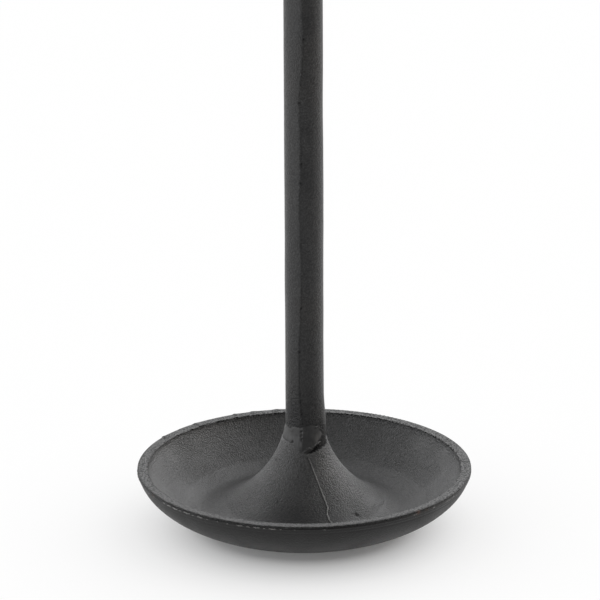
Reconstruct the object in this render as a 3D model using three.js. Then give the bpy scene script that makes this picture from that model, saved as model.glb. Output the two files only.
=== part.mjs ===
// Torchere candle stand. A cast dish whose middle rises in a trumpet carries a tube stem, and a cast
// candle pan with a pricket sits on top. The stem is welded to both castings and the welds are dressed.
// Millimetres, +Z up, origin on the floor under the stem. The stand is seen from the -Y side.

import * as THREE from 'three';

// ---------------------------------------------------------------- driving dimensions

// Stem
const stemDiameter = 25.4;
const stemWall = 2;
const stemLength = 740;
const stemEndBevel = 0.8;

// Base dish, measured from its foot ring up
const dishDiameter = 228;
const dishDepth = 38.5;
const dishRimWidth = 7;
const dishRimLean = 78; // slope of the outside wall at the rim, degrees from level
const dishWallPull = 24.9; // how far the outside wall holds that slope
const dishBellyPull = 8.3; // how far the underside stays level past the foot ring
const dishHollowDepth = 30; // from the rim down to the lowest line of the inside
const dishInsideLean = 82;
const dishInsideWallPull = 13;
const dishInsideFloorPull = 12;
const dishCastWall = 6.5; // thickness of iron over the hollow underneath
const edgeRadius = 0.8; // rounding left on the ground edges of both rims

// Trumpet in the middle of the dish
const troughRadius = 70; // radius of the lowest line of the inside
const trumpetRise = 38.5; // where the trumpet meets the line of the stem, above the rim
const trumpetUprightPull = 41.5;
const trumpetLevelPull = 16;
const trumpetShoulderRise = 12; // the casting stops at this height above the rim
const trumpetRoof = 12; // solid iron left between the hollow and the shoulder

// Foot ring and its pads
const footRingInner = 44.5;
const footRingOuter = 61.5;
const padCount = 4;
const padDiameter = 16;
const padThickness = 2;
const padEdgeRound = 0.4;
const firstPadAngle = 31; // degrees from the front towards the right

// Candle pan, measured from its underside up
const panDiameter = 112;
const panRimWidth = 5;
const panHollowDepth = 15;
const panFloorThickness = 5.5;
const candleFloorDiameter = 78;
const panUndersideRadius = 34; // where the neck runs out into the underside
const panRimLean = 72;
const panWallPull = 12;
const panBellyPull = 10;
const panInsideLean = 74;
const panInsideWallPull = 9;
const panInsideFloorPull = 4;
const panNeckDrop = 27; // where the neck meets the line of the stem, below the underside
const panNeckUprightPull = 17;
const panNeckLevelPull = 13;
const panShoulderDrop = 12; // the casting stops at this depth below the underside

// Spigots that centre both castings in the stem
const spigotLength = 22;
const spigotLeadIn = 1.5;

// Pricket
const pricketSpikeLength = 37;
const pricketSpikeDiameter = 6.5;
const pricketTipDiameter = 1;
const pricketCollarDiameter = 16;
const pricketCollarThickness = 2.5;
const pricketShankDiameter = 6;
const pricketShankLength = 12;
const pricketHoleSpare = 2; // depth of the hole past the end of the shank
const pricketSeatDepth = 0.8; // the collar sits in a spot face this deep in the candle floor

// Dressed welds
const baseWeldLength = 23; // from the shoulder along the stem
const panWeldLength = 12;
const weldEdge = 0.7; // how proud of the stem the weld still stands where it ends
const weldWander = 1.6; // how far the hand-ground end wanders up and down
const weldLedge = 0.8; // how far the weld hangs over the shoulder on its full side
const weldLedgeAngle = 40; // the full side, degrees from the front towards the right

// Clearances
const fitGap = 0.3; // between pieces that are welded, glued or screwed together

// Fineness of the round surfaces
const dishSegments = 72;
const panSegments = 52;
const stemSegments = 48;
const weldSegments = 40;
const smallSegments = 24;

// ---------------------------------------------------------------- worked-out places

const stemRadius = stemDiameter / 2;
const dishFootLevel = padThickness + fitGap;
const dishRimLevel = dishFootLevel + dishDepth;
const dishShoulderLevel = dishRimLevel + trumpetShoulderRise;
const stemFootLevel = dishShoulderLevel + fitGap;
const stemTopLevel = stemFootLevel + stemLength;
const panShoulderLevel = stemTopLevel + fitGap;
const panUndersideLevel = panShoulderLevel + panShoulderDrop;
const padCircleRadius = (footRingInner + footRingOuter) / 2;
const pricketSeat = panFloorThickness - pricketSeatDepth; // above the pan's underside

// ---------------------------------------------------------------- finishes

function blackCoating(name, colour, roughness) {
  const finish = new THREE.MeshStandardMaterial({ color: colour, roughness, metalness: 0.15 });
  finish.name = name;
  return finish;
}

const castBlack = () => blackCoating('cast_black', 0x38383a, 0.62);
const stemBlack = () => blackCoating('stem_black', 0x343436, 0.6);
const pricketBlack = () => blackCoating('pricket_black', 0x2e2e30, 0.5);

function padRubber() {
  const finish = new THREE.MeshStandardMaterial({ color: 0x161616, roughness: 0.9, metalness: 0 });
  finish.name = 'pad_rubber';
  return finish;
}

// ---------------------------------------------------------------- profile tools
// A profile is a list of points (radius, height) that is turned about the Z axis.

const at = (radius, height) => new THREE.Vector2(radius, height);

// A direction in the profile plane, given by its slope in degrees from level.
function leaning(degrees, length) {
  const slope = THREE.MathUtils.degToRad(degrees);
  return at(Math.cos(slope) * length, Math.sin(slope) * length);
}

// A smooth stretch that leaves `start` along `startPull` and reaches `end` against `endPull`.
function sweep(start, startPull, end, endPull) {
  return new THREE.CubicBezierCurve(start, start.clone().add(startPull), end.clone().add(endPull), end);
}

// The corner between two straight stretches, rounded to a quarter turn or less.
function roundedCorner(before, corner, after, radius, steps = 3) {
  const toBefore = before.clone().sub(corner).normalize();
  const toAfter = after.clone().sub(corner).normalize();
  const halfAngle = Math.acos(THREE.MathUtils.clamp(toBefore.dot(toAfter), -1, 1)) / 2;
  const reach = radius / Math.tan(halfAngle);
  const start = corner.clone().addScaledVector(toBefore, reach);
  const end = corner.clone().addScaledVector(toAfter, reach);
  return new THREE.QuadraticBezierCurve(start, corner, end).getPoints(steps);
}

// Where a curve that only climbs, or only falls, passes a height: its parameter there.
function parameterAtHeight(curve, height) {
  const climbs = curve.getPoint(1).y > curve.getPoint(0).y;
  let low = 0;
  let high = 1;
  for (let step = 0; step < 40; step += 1) {
    const middle = (low + high) / 2;
    const below = curve.getPoint(middle).y < height;
    if (below === climbs) low = middle;
    else high = middle;
  }
  return (low + high) / 2;
}

// Evenly spaced points of a curve between two of its parameters, both ends included.
function stretchOf(curve, from, to, steps) {
  const points = [];
  for (let step = 0; step <= steps; step += 1) {
    points.push(curve.getPoint(THREE.MathUtils.lerp(from, to, step / steps)));
  }
  return points;
}

// The same line moved sideways by `distance`, to the right of its direction of travel.
function offsetLine(points, distance) {
  return points.map((point, index) => {
    const before = points[Math.max(index - 1, 0)];
    const after = points[Math.min(index + 1, points.length - 1)];
    const along = after.clone().sub(before).normalize();
    return at(point.x + along.y * distance, point.y - along.x * distance);
  });
}

// The point of a line where a coordinate ('x' or 'y') passes a value.
function crossing(points, coordinate, value) {
  for (let index = 1; index < points.length; index += 1) {
    const first = points[index - 1];
    const second = points[index];
    const change = second[coordinate] - first[coordinate];
    const share = (value - first[coordinate]) / change;
    if (change !== 0 && share >= 0 && share <= 1) return first.clone().lerp(second, share);
  }
  throw new Error(`the line never reaches ${coordinate} = ${value}`);
}

// Turns a profile about +Z.
function turned(profile, segments) {
  return new THREE.LatheGeometry(profile, segments).rotateX(Math.PI / 2);
}

// The trumpet shape shared by both castings: from level at the wide end, at height 0,
// to the upright line of the stem at its full height.
function flareCurve(wideRadius, height, levelPull, uprightPull) {
  return sweep(at(wideRadius, 0), at(-levelPull, 0), at(stemRadius, height), at(0, -uprightPull));
}

const trumpetHeight = dishHollowDepth + trumpetRise;
const trumpetCurve = () => flareCurve(troughRadius, trumpetHeight, trumpetLevelPull, trumpetUprightPull);
const panNeckCurve = () => flareCurve(panUndersideRadius, panNeckDrop, panNeckLevelPull, panNeckUprightPull);

// The spigot from a shoulder at `shoulder` to its end, on the side given by `direction`.
function spigotLine(shoulder, direction) {
  const radius = stemRadius - stemWall - fitGap;
  const end = shoulder + direction * spigotLength;
  return [
    at(radius, shoulder),
    at(radius, end - direction * spigotLeadIn),
    at(radius - spigotLeadIn, end),
    at(0, end),
  ];
}

// A flat ground rim: its outer and inner rounded edges, from outside to inside.
function rimLine(outer, inner, outsideLean, insideLean) {
  const below = outer.clone().sub(leaning(outsideLean, edgeRadius * 10));
  const inside = inner.clone().sub(leaning(insideLean, edgeRadius * 10));
  return [
    ...roundedCorner(below, outer, inner, edgeRadius),
    ...roundedCorner(outer, inner, inside, edgeRadius),
  ];
}

// ---------------------------------------------------------------- base dish

// The hollow under the dish, from its roof down to the inner edge of the foot ring.
function dishHollowLine() {
  const curve = trumpetCurve();
  const floorLevel = dishDepth - dishHollowDepth;
  const surface = stretchOf(curve, 0, 1, 60).map((point) => at(point.x, point.y + floorLevel));
  const roof = dishDepth + trumpetShoulderRise - trumpetRoof;
  const underside = offsetLine(surface, -dishCastWall);
  const top = crossing(underside, 'y', roof);
  const bottom = crossing(underside, 'x', footRingInner);
  const between = underside.filter((point) => point.y < top.y - 1 && point.x < bottom.x - 1);
  const spaced = between.reverse().filter((point, index) => index % 4 === 2);
  return [at(0, roof), top, ...spaced, bottom, at(footRingInner, 0)];
}

// The inside of the dish, from the rim's inner edge over the trough to the shoulder.
function dishInsideLine() {
  const floorLevel = dishDepth - dishHollowDepth;
  const rimInner = at(dishDiameter / 2 - dishRimWidth, dishDepth);
  const wall = sweep(
    rimInner,
    leaning(dishInsideLean, -dishInsideWallPull),
    at(troughRadius, floorLevel),
    at(dishInsideFloorPull, 0),
  );
  const trumpet = trumpetCurve();
  const shoulder = parameterAtHeight(trumpet, dishHollowDepth + trumpetShoulderRise);
  const wallPoints = wall.getPoints(9).slice(1, -1);
  const trumpetPoints = stretchOf(trumpet, 0, shoulder, 12);
  return [...wallPoints, ...trumpetPoints.map((point) => at(point.x, point.y + floorLevel))];
}

function baseDish() {
  const rimOuter = at(dishDiameter / 2, dishDepth);
  const rimInner = at(dishDiameter / 2 - dishRimWidth, dishDepth);
  const outside = sweep(
    at(footRingOuter, 0),
    at(dishBellyPull, 0),
    rimOuter,
    leaning(dishRimLean, -dishWallPull),
  );
  const profile = [
    ...dishHollowLine(),
    ...outside.getPoints(11).slice(0, -1),
    ...rimLine(rimOuter, rimInner, dishRimLean, dishInsideLean),
    ...dishInsideLine(),
    ...spigotLine(dishDepth + trumpetShoulderRise, 1),
  ];
  const mesh = new THREE.Mesh(turned(profile, dishSegments), castBlack());
  mesh.name = 'base_dish';
  mesh.position.z = dishFootLevel;
  return mesh;
}

// ---------------------------------------------------------------- foot pads

function footPad(number) {
  const radius = padDiameter / 2;
  const profile = [
    at(0, 0),
    at(radius - padEdgeRound, 0),
    at(radius, padEdgeRound),
    at(radius, padThickness),
    at(0, padThickness),
  ];
  const angle = THREE.MathUtils.degToRad(firstPadAngle + ((number - 1) * 360) / padCount);
  const mesh = new THREE.Mesh(turned(profile, smallSegments), padRubber());
  mesh.name = `foot_pad_${number}`;
  mesh.position.set(Math.sin(angle) * padCircleRadius, -Math.cos(angle) * padCircleRadius, 0);
  return mesh;
}

function footPads() {
  const pads = new THREE.Group();
  for (let number = 1; number <= padCount; number += 1) pads.add(footPad(number));
  return pads;
}

// ---------------------------------------------------------------- stem

function stemTube() {
  const bore = stemRadius - stemWall;
  const profile = [
    at(bore, 0),
    at(stemRadius - stemEndBevel, 0),
    at(stemRadius, stemEndBevel),
    at(stemRadius, stemLength - stemEndBevel),
    at(stemRadius - stemEndBevel, stemLength),
    at(bore, stemLength),
    at(bore, 0),
  ];
  const mesh = new THREE.Mesh(turned(profile, stemSegments), stemBlack());
  mesh.name = 'stem_tube';
  mesh.position.z = stemFootLevel;
  return mesh;
}

// ---------------------------------------------------------------- dressed welds

// The closed section of a weld at one angle round the stem. Height 0 is the casting's shoulder, and
// the weld climbs along the stem. Its outside carries on the line of the flare that it fills.
function weldSection(flare, shoulderHeight, length, angle) {
  const inner = stemRadius + fitGap;
  const wander = weldWander * (0.6 * Math.sin(2 * angle + 0.7) + 0.4 * Math.sin(5 * angle + 2.1));
  const ledge = weldLedge * (0.5 + 0.5 * Math.cos(angle - THREE.MathUtils.degToRad(weldLedgeAngle)));
  const end = length + wander;
  const steps = 7;
  const section = [];
  for (let step = 0; step <= steps; step += 1) {
    const share = step / steps;
    const height = THREE.MathUtils.lerp(fitGap, end - weldEdge, share);
    const flareRadius = flare.getPoint(parameterAtHeight(flare, shoulderHeight + height)).x;
    const proud = Math.max(flareRadius, inner + weldEdge) + ledge * (1 - share) ** 2;
    section.push(at(proud, height));
  }
  section.push(at(inner, end));
  section.push(at(inner, fitGap));
  return section;
}

// A closed ring solid from a section that changes with the angle round Z.
function ringSolid(sectionAt, segments) {
  const positions = [];
  const indices = [];
  let count = 0;
  for (let turn = 0; turn < segments; turn += 1) {
    const angle = (turn / segments) * Math.PI * 2;
    const section = sectionAt(angle);
    count = section.length;
    for (const point of section) {
      positions.push(Math.sin(angle) * point.x, -Math.cos(angle) * point.x, point.y);
    }
  }
  for (let turn = 0; turn < segments; turn += 1) {
    const here = turn * count;
    const next = ((turn + 1) % segments) * count;
    for (let corner = 0; corner < count; corner += 1) {
      const following = (corner + 1) % count;
      indices.push(here + corner, next + corner, next + following);
      indices.push(here + corner, next + following, here + following);
    }
  }
  const geometry = new THREE.BufferGeometry();
  geometry.setAttribute('position', new THREE.Float32BufferAttribute(positions, 3));
  geometry.setIndex(indices);
  geometry.computeVertexNormals();
  return geometry;
}

function baseWeld() {
  const flare = trumpetCurve();
  const shoulder = dishHollowDepth + trumpetShoulderRise;
  const section = (angle) => weldSection(flare, shoulder, baseWeldLength, angle);
  const mesh = new THREE.Mesh(ringSolid(section, weldSegments), castBlack());
  mesh.name = 'base_weld';
  mesh.position.z = dishShoulderLevel;
  return mesh;
}

function panWeld() {
  const section = (angle) => weldSection(panNeckCurve(), panShoulderDrop, panWeldLength, angle);
  const mesh = new THREE.Mesh(ringSolid(section, weldSegments), castBlack());
  mesh.name = 'pan_weld';
  mesh.rotation.x = Math.PI;
  mesh.position.z = panShoulderLevel;
  return mesh;
}

// ---------------------------------------------------------------- candle pan

// The spot face for the pricket's collar and the blind hole for its shank, from the candle floor down.
function pricketHoleLine() {
  const spotRadius = pricketCollarDiameter / 2 + fitGap;
  const holeRadius = pricketShankDiameter / 2 + fitGap;
  const bottom = pricketSeat - pricketShankLength - pricketHoleSpare;
  return [
    at(spotRadius, panFloorThickness),
    at(spotRadius, pricketSeat),
    at(holeRadius, pricketSeat),
    at(holeRadius, bottom),
    at(0, bottom),
  ];
}

function candlePan() {
  const rimHeight = panFloorThickness + panHollowDepth;
  const rimOuter = at(panDiameter / 2, rimHeight);
  const rimInner = at(panDiameter / 2 - panRimWidth, rimHeight);
  const neck = panNeckCurve();
  const shoulder = parameterAtHeight(neck, panShoulderDrop);
  const neckPoints = stretchOf(neck, shoulder, 0, 8).map((point) => at(point.x, -point.y));
  const outside = sweep(
    at(panUndersideRadius, 0),
    at(panBellyPull, 0),
    rimOuter,
    leaning(panRimLean, -panWallPull),
  );
  const inside = sweep(
    rimInner,
    leaning(panInsideLean, -panInsideWallPull),
    at(candleFloorDiameter / 2, panFloorThickness),
    at(panInsideFloorPull, 0),
  );
  const profile = [
    ...spigotLine(-panShoulderDrop, -1).reverse(),
    ...neckPoints,
    ...outside.getPoints(8).slice(1, -1),
    ...rimLine(rimOuter, rimInner, panRimLean, panInsideLean),
    ...inside.getPoints(7).slice(1),
    ...pricketHoleLine(),
  ];
  const mesh = new THREE.Mesh(turned(profile, panSegments), castBlack());
  mesh.name = 'candle_pan';
  mesh.position.z = panUndersideLevel;
  return mesh;
}

// ---------------------------------------------------------------- pricket

function pricket() {
  const shank = pricketShankDiameter / 2;
  const collar = pricketCollarDiameter / 2;
  const top = pricketCollarThickness + pricketSpikeLength;
  const profile = [
    at(0, -pricketShankLength),
    at(shank - 1, -pricketShankLength),
    at(shank, 1 - pricketShankLength),
    at(shank, 0),
    at(collar, 0),
    at(collar, pricketCollarThickness - 0.5),
    at(collar - 0.5, pricketCollarThickness),
    at(pricketSpikeDiameter / 2, pricketCollarThickness),
    at(pricketTipDiameter / 2, top - pricketTipDiameter / 2),
    at(0, top),
  ];
  const mesh = new THREE.Mesh(turned(profile, smallSegments), pricketBlack());
  mesh.name = 'pricket';
  mesh.position.z = panUndersideLevel + pricketSeat + fitGap;
  return mesh;
}

// ---------------------------------------------------------------- the whole stand

const stand = new THREE.Group();
stand.name = 'torchere_candle_stand';
stand.add(baseDish());
stand.add(footPads());
stand.add(stemTube());
stand.add(baseWeld());
stand.add(candlePan());
stand.add(panWeld());
stand.add(pricket());

export default stand;
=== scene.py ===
"""Torchere candle stand: the finished surfaces of the stand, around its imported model.

Metres, +Z up, origin on the floor under the stem. The stand is seen from the -Y side. Angles round the
stem are measured from the front (-Y) towards the right (+X).
"""

import logging
import math
from collections.abc import Sequence
from dataclasses import dataclass, field, replace
from enum import Enum

import bpy
import numpy as np
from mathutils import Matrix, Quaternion, Vector


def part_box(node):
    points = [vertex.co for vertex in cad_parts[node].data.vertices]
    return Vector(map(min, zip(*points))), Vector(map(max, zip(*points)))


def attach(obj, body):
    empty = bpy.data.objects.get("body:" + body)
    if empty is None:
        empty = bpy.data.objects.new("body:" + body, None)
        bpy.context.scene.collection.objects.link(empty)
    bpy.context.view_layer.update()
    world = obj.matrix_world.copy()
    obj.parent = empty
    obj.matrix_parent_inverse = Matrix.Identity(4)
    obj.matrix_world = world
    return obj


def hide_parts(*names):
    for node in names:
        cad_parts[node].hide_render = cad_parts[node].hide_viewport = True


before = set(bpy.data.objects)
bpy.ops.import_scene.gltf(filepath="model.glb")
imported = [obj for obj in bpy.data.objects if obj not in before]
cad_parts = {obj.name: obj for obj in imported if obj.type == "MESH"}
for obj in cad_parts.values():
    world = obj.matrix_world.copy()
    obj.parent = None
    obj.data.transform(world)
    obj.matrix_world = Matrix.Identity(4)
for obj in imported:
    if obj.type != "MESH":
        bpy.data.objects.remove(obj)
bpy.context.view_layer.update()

LOG = logging.getLogger("torchere")
MM = 0.001
FULL_TURN = 2 * math.pi
SAME_PLACE = 1e-6
CAST_ATTRIBUTE = "cast"  # the share of sand-cast skin
GROUND_ATTRIBUTE = "ground"  # the share of ground surface
RUST_ATTRIBUTE = "rust"  # the share of rust
PAINTED_SHADE_ATTRIBUTE = "gap"  # painted shade: how dark an open joint, a seam groove, a pinhole or the corner beside the vein is painted
SHADED_DULL_ATTRIBUTE = "thick_coat"  # painted shade: how much darker and duller the coat is painted on the outside wall and low in front
WIDTH_ATTRIBUTE = "half_width"  # the half width of an iron thread

Array = np.ndarray
Colour = tuple[float, float, float]
Material = bpy.types.Material
Point = Sequence[float]
Socket = bpy.types.NodeSocket
Table = tuple[tuple[float, ...], ...]
Thing = bpy.types.Object


class Slot(Enum):
    """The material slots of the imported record."""

    CAST_BLACK = "cast_black"
    STEM_BLACK = "stem_black"
    PRICKET_BLACK = "pricket_black"
    PAD_RUBBER = "pad_rubber"


class Skin(Enum):
    """How a stretch of iron was left: (share of sand-cast skin, share of ground surface).

    The ground share is over 1 where handling has rubbed a ground edge, and there it also paints a highlight
    along the edge.
    """

    SAND_CAST = (1.0, 0.0)
    SOFT_CAST = (0.6, 0.0)
    FINE_CAST = (0.3, 0.0)
    WORN = (0.4, 0.8)
    GROUND = (0.12, 1.0)
    # a rubbed edge, painted lighter partly as wear and partly as the highlight along the rim's inner corner
    RUBBED = (0.1, 1.5)
    TURNED = (0.0, 0.0)


# ---------------------------------------------------------------- node trees


class NodeBuilder:
    """Adds nodes to a shader or geometry tree, with their options, values and links in one call."""

    def __init__(self, tree: bpy.types.NodeTree) -> None:
        """Args:
        tree: the tree that the nodes go into.
        """
        self.tree = tree

    def add(self, kind: str, options: dict | None = None, inputs: dict | None = None) -> bpy.types.Node:
        """Adds one node.

        Args:
            kind: the node's type name.
            options: values for the node's own properties.
            inputs: values, or sockets to link from, by the input's name or number.

        Returns:
            The new node.
        """
        node = self.tree.nodes.new(kind)
        for name, value in (options or {}).items():
            setattr(node, name, value)
        for key, value in (inputs or {}).items():
            self.join(value, node.inputs[key])
        return node

    def first(self, kind: str, options: dict | None = None, inputs: dict | None = None) -> Socket:
        """Adds one node as `add` does, and gives its first output."""
        return self.add(kind, options, inputs).outputs[0]

    def attribute(self, name: str) -> Socket:
        """A number that the mesh holds under a name."""
        return self.add("ShaderNodeAttribute", {"attribute_name": name}).outputs["Fac"]

    def join(self, value: object, socket: Socket) -> None:
        """Links an output to a socket, or sets the socket's own value."""
        if isinstance(value, Socket):
            self.tree.links.new(value, socket)
        else:
            socket.default_value = value

    def math(self, operation: str, first: object, second: object = 0.0) -> Socket:
        """A number worked out from one or two others."""
        return self.first("ShaderNodeMath", {"operation": operation}, {0: first, 1: second})

    def times(self, first: object, second: object) -> Socket:
        """The product of two numbers."""
        return self.math("MULTIPLY", first, second)

    def vector(self, operation: str, first: object, second: object) -> Socket:
        """A vector worked out from two others."""
        return self.first("ShaderNodeVectorMath", {"operation": operation}, {0: first, 1: second})

    def scaled(self, vector: object, scale: object) -> Socket:
        """A vector times a number."""
        return self.first("ShaderNodeVectorMath", {"operation": "SCALE"}, {0: vector, "Scale": scale})

    def ramp(self, value: object, low: float, high: float, start: float = 0.0, end: float = 1.0) -> Socket:
        """A smooth change from `start` to `end` while a value goes from `low` to `high`."""
        inputs = {0: value, 1: low, 2: high, 3: start, 4: end}
        return self.first("ShaderNodeMapRange", {"interpolation_type": "SMOOTHSTEP"}, inputs)

    def bump(self, height: object, distance: float, under: object = None) -> Socket:
        """Relief of a height in metres, on top of the relief `under` it."""
        inputs = {"Height": height, "Distance": distance, **({"Normal": under} if under else {})}
        return self.first("ShaderNodeBump", None, inputs)

    def mix_colour(self, share: object, first: object, second: object) -> Socket:
        """A colour between two others."""
        node = self.add("ShaderNodeMix", {"data_type": "RGBA"}, {0: share, 6: first, 7: second})
        return node.outputs[2]

    def noise(self, vector: object, size: object, seed: object, detail: float = 2.0) -> Socket:
        """Soft noise from 0 to 1.

        Args:
            vector: where it is read, in metres.
            size: the size of its lumps, in metres.
            seed: a number that picks one noise out of many.
            detail: how many finer layers it has.

        Returns:
            The socket with the noise.
        """
        inputs = {"Vector": vector, "W": seed, "Scale": self.math("DIVIDE", 1.0, size), "Detail": detail}
        return self.first("ShaderNodeTexNoise", {"noise_dimensions": "4D"}, inputs)


class GeometryTree(NodeBuilder):
    """A geometry-node tree with named inputs, used as a modifier and then turned into a plain mesh."""

    def __init__(self, name: str, sockets: dict[str, str]) -> None:
        """Args:
        name: the tree's name.
        sockets: the type of each input by its name, after the geometry itself.
        """
        super().__init__(bpy.data.node_groups.new(name, "GeometryNodeTree"))
        interface = self.tree.interface
        interface.new_socket("Geometry", in_out="INPUT", socket_type="NodeSocketGeometry")
        for label, kind in sockets.items():
            interface.new_socket(label, in_out="INPUT", socket_type=kind)
        interface.new_socket("Geometry", in_out="OUTPUT", socket_type="NodeSocketGeometry")
        self.inputs = self.tree.nodes.new("NodeGroupInput").outputs

    def attribute(self, name: str) -> Socket:
        """A number that the geometry holds under a name."""
        return self.first("GeometryNodeInputNamedAttribute", {"data_type": "FLOAT"}, {"Name": name})

    def end(self, geometry: Socket) -> None:
        """Realises any instances, gives the result its material and makes it the tree's output."""
        real = self.first("GeometryNodeRealizeInstances", None, {"Geometry": geometry})
        inputs = {"Geometry": real, "Material": self.inputs["Material"]}
        painted = self.first("GeometryNodeSetMaterial", None, inputs)
        self.add("NodeGroupOutput", None, {"Geometry": painted})

    def make(self, name: str, source: bpy.types.Mesh, values: dict[str, object]) -> Thing:
        """Runs the tree on a mesh and keeps the result as a plain mesh object.

        Args:
            name: the new object's name.
            source: the mesh that the tree starts from.
            values: a value for each named input.

        Returns:
            The new object, with no modifier on it.
        """
        carrier = bpy.data.objects.new(name + "_source", source)
        bpy.context.scene.collection.objects.link(carrier)
        modifier = carrier.modifiers.new(self.tree.name, "NODES")
        modifier.node_group = self.tree
        for item in self.tree.interface.items_tree:
            if item.in_out == "INPUT" and item.name in values:
                modifier[item.identifier] = values[item.name]
        evaluated = carrier.evaluated_get(bpy.context.evaluated_depsgraph_get())
        mesh = bpy.data.meshes.new_from_object(evaluated)
        carrier.modifiers.remove(modifier)
        bpy.data.objects.remove(carrier)
        return new_object(name, mesh)


def turned_casting_tree() -> GeometryTree:
    """The rule of every turned piece: its outline is turned about the stem's axis and gets a cast skin.

    Returns:
        The tree. Its geometry is the outline: one vertex for each ring, radius in X and height in Z.
    """
    sizes = ("Swell Size", "Swell Height", "Grain Size", "Grain Height", "Seed")
    kinds = {"Segments": "NodeSocketInt", **{size: "NodeSocketFloat" for size in sizes}}
    tree = GeometryTree(
        "turned casting",
        {**kinds, "Grain Stretch": "NodeSocketVector", "Material": "NodeSocketMaterial"},
    )
    outline = tree.inputs["Geometry"]
    size_node = tree.add("GeometryNodeAttributeDomainSize", {"component": "MESH"}, {0: outline})
    rings = size_node.outputs["Point Count"]
    columns = tree.math("ADD", tree.inputs["Segments"], 1.0)
    grid = tree.add("GeometryNodeMeshGrid", None, {2: columns, 3: rings}).outputs["Mesh"]

    index = tree.first("GeometryNodeInputIndex")
    column = tree.math("FLOOR", tree.math("DIVIDE", tree.math("ADD", index, 0.5), rings))
    ring = tree.math("SUBTRACT", index, tree.times(column, rings))
    turn = tree.times(tree.math("DIVIDE", column, tree.inputs["Segments"]), FULL_TURN)

    def of_ring(value: Socket, data_type: str) -> Socket:
        """A value of the outline's vertex that a grid vertex belongs to."""
        inputs = {"Geometry": outline, "Value": value, "Index": ring}
        return tree.first("GeometryNodeSampleIndex", {"data_type": data_type}, inputs)

    place = of_ring(tree.first("GeometryNodeInputPosition"), "FLOAT_VECTOR")
    parts = tree.add("ShaderNodeSeparateXYZ", None, {0: place}).outputs
    x = tree.times(parts["X"], tree.math("SINE", turn))
    y = tree.times(parts["X"], tree.times(tree.math("COSINE", turn), -1.0))
    spot = tree.first("ShaderNodeCombineXYZ", None, {0: x, 1: y, 2: parts["Z"]})
    body = grid
    for name in (CAST_ATTRIBUTE, GROUND_ATTRIBUTE):
        stored = {"Geometry": body, "Name": name, "Value": of_ring(tree.attribute(name), "FLOAT")}
        options = {"data_type": "FLOAT", "domain": "POINT"}
        body = tree.first("GeometryNodeStoreNamedAttribute", options, stored)
    body = tree.first("GeometryNodeSetPosition", None, {"Geometry": body, "Position": spot})
    body = tree.first("GeometryNodeMergeByDistance", None, {"Geometry": body, "Distance": SAME_PLACE})

    position = tree.first("GeometryNodeInputPosition")
    stretched = tree.vector("MULTIPLY", position, tree.inputs["Grain Stretch"])
    swell = tree.noise(position, tree.inputs["Swell Size"], tree.inputs["Seed"], 1.0)
    grain = tree.noise(stretched, tree.inputs["Grain Size"], tree.inputs["Seed"], 1.5)
    swell_height = tree.times(tree.math("SUBTRACT", swell, 0.5), tree.inputs["Swell Height"])
    grain_height = tree.times(tree.math("SUBTRACT", grain, 0.5), tree.inputs["Grain Height"])
    cast = tree.attribute(CAST_ATTRIBUTE)
    height = tree.times(tree.math("ADD", swell_height, grain_height), cast)
    normal = tree.first("GeometryNodeInputNormal")
    offset = {"Geometry": body, "Offset": tree.scaled(normal, height)}
    body = tree.first("GeometryNodeSetPosition", None, offset)
    tree.end(tree.first("GeometryNodeSetShadeSmooth", None, {"Geometry": body}))
    return tree


def iron_thread_tree() -> GeometryTree:
    """Thin threads of iron along chains of edges, as thick as each vertex says.

    Returns:
        The tree. Its geometry is the chains, with the half width as an attribute.
    """
    tree = GeometryTree("iron thread", {"Sides": "NodeSocketInt", "Material": "NodeSocketMaterial"})
    half = tree.attribute(WIDTH_ATTRIBUTE)
    chains = tree.first("GeometryNodeMeshToCurve", None, {0: tree.inputs["Geometry"]})
    circle = {"Resolution": tree.inputs["Sides"], "Radius": 1.0}
    section = tree.add("GeometryNodeCurvePrimitiveCircle", None, circle).outputs["Curve"]
    laid = {"Curve": chains, "Profile Curve": section, "Scale": half, "Fill Caps": True}
    thread = tree.first("GeometryNodeCurveToMesh", None, laid)
    tree.end(tree.first("GeometryNodeSetShadeSmooth", None, {"Geometry": thread}))
    return tree


def pads_round_ring_tree() -> GeometryTree:
    """Copies of one pad, spaced evenly round the foot ring.

    Returns:
        The tree. Its geometry is the pad at the origin.
    """
    kinds = {"Count": "NodeSocketInt", "Ring Radius": "NodeSocketFloat", "First Angle": "NodeSocketFloat"}
    tree = GeometryTree("pads round ring", {**kinds, "Material": "NodeSocketMaterial"})
    ring = {"Vertices": tree.inputs["Count"], "Radius": tree.inputs["Ring Radius"]}
    points = tree.add("GeometryNodeMeshCircle", None, ring).outputs["Mesh"]
    turn = tree.first("ShaderNodeCombineXYZ", None, {2: tree.inputs["First Angle"]})
    turned = tree.first("GeometryNodeTransform", None, {"Geometry": points, "Rotation": turn})
    copies = {"Points": turned, "Instance": tree.inputs["Geometry"]}
    tree.end(tree.first("GeometryNodeInstanceOnPoints", None, copies))
    return tree


# ---------------------------------------------------------------- finishes


def new_material(name: str) -> tuple[Material, NodeBuilder, bpy.types.Node, Socket]:
    """Makes a material to add nodes to.

    Args:
        name: the material's name.

    Returns:
        The material, its nodes, its surface and the place in Object coordinates.
    """
    material = bpy.data.materials.new(name)
    material.use_nodes = True
    nodes = NodeBuilder(material.node_tree)
    place = nodes.add("ShaderNodeTexCoord").outputs["Object"]
    return material, nodes, material.node_tree.nodes["Principled BSDF"], place


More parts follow.
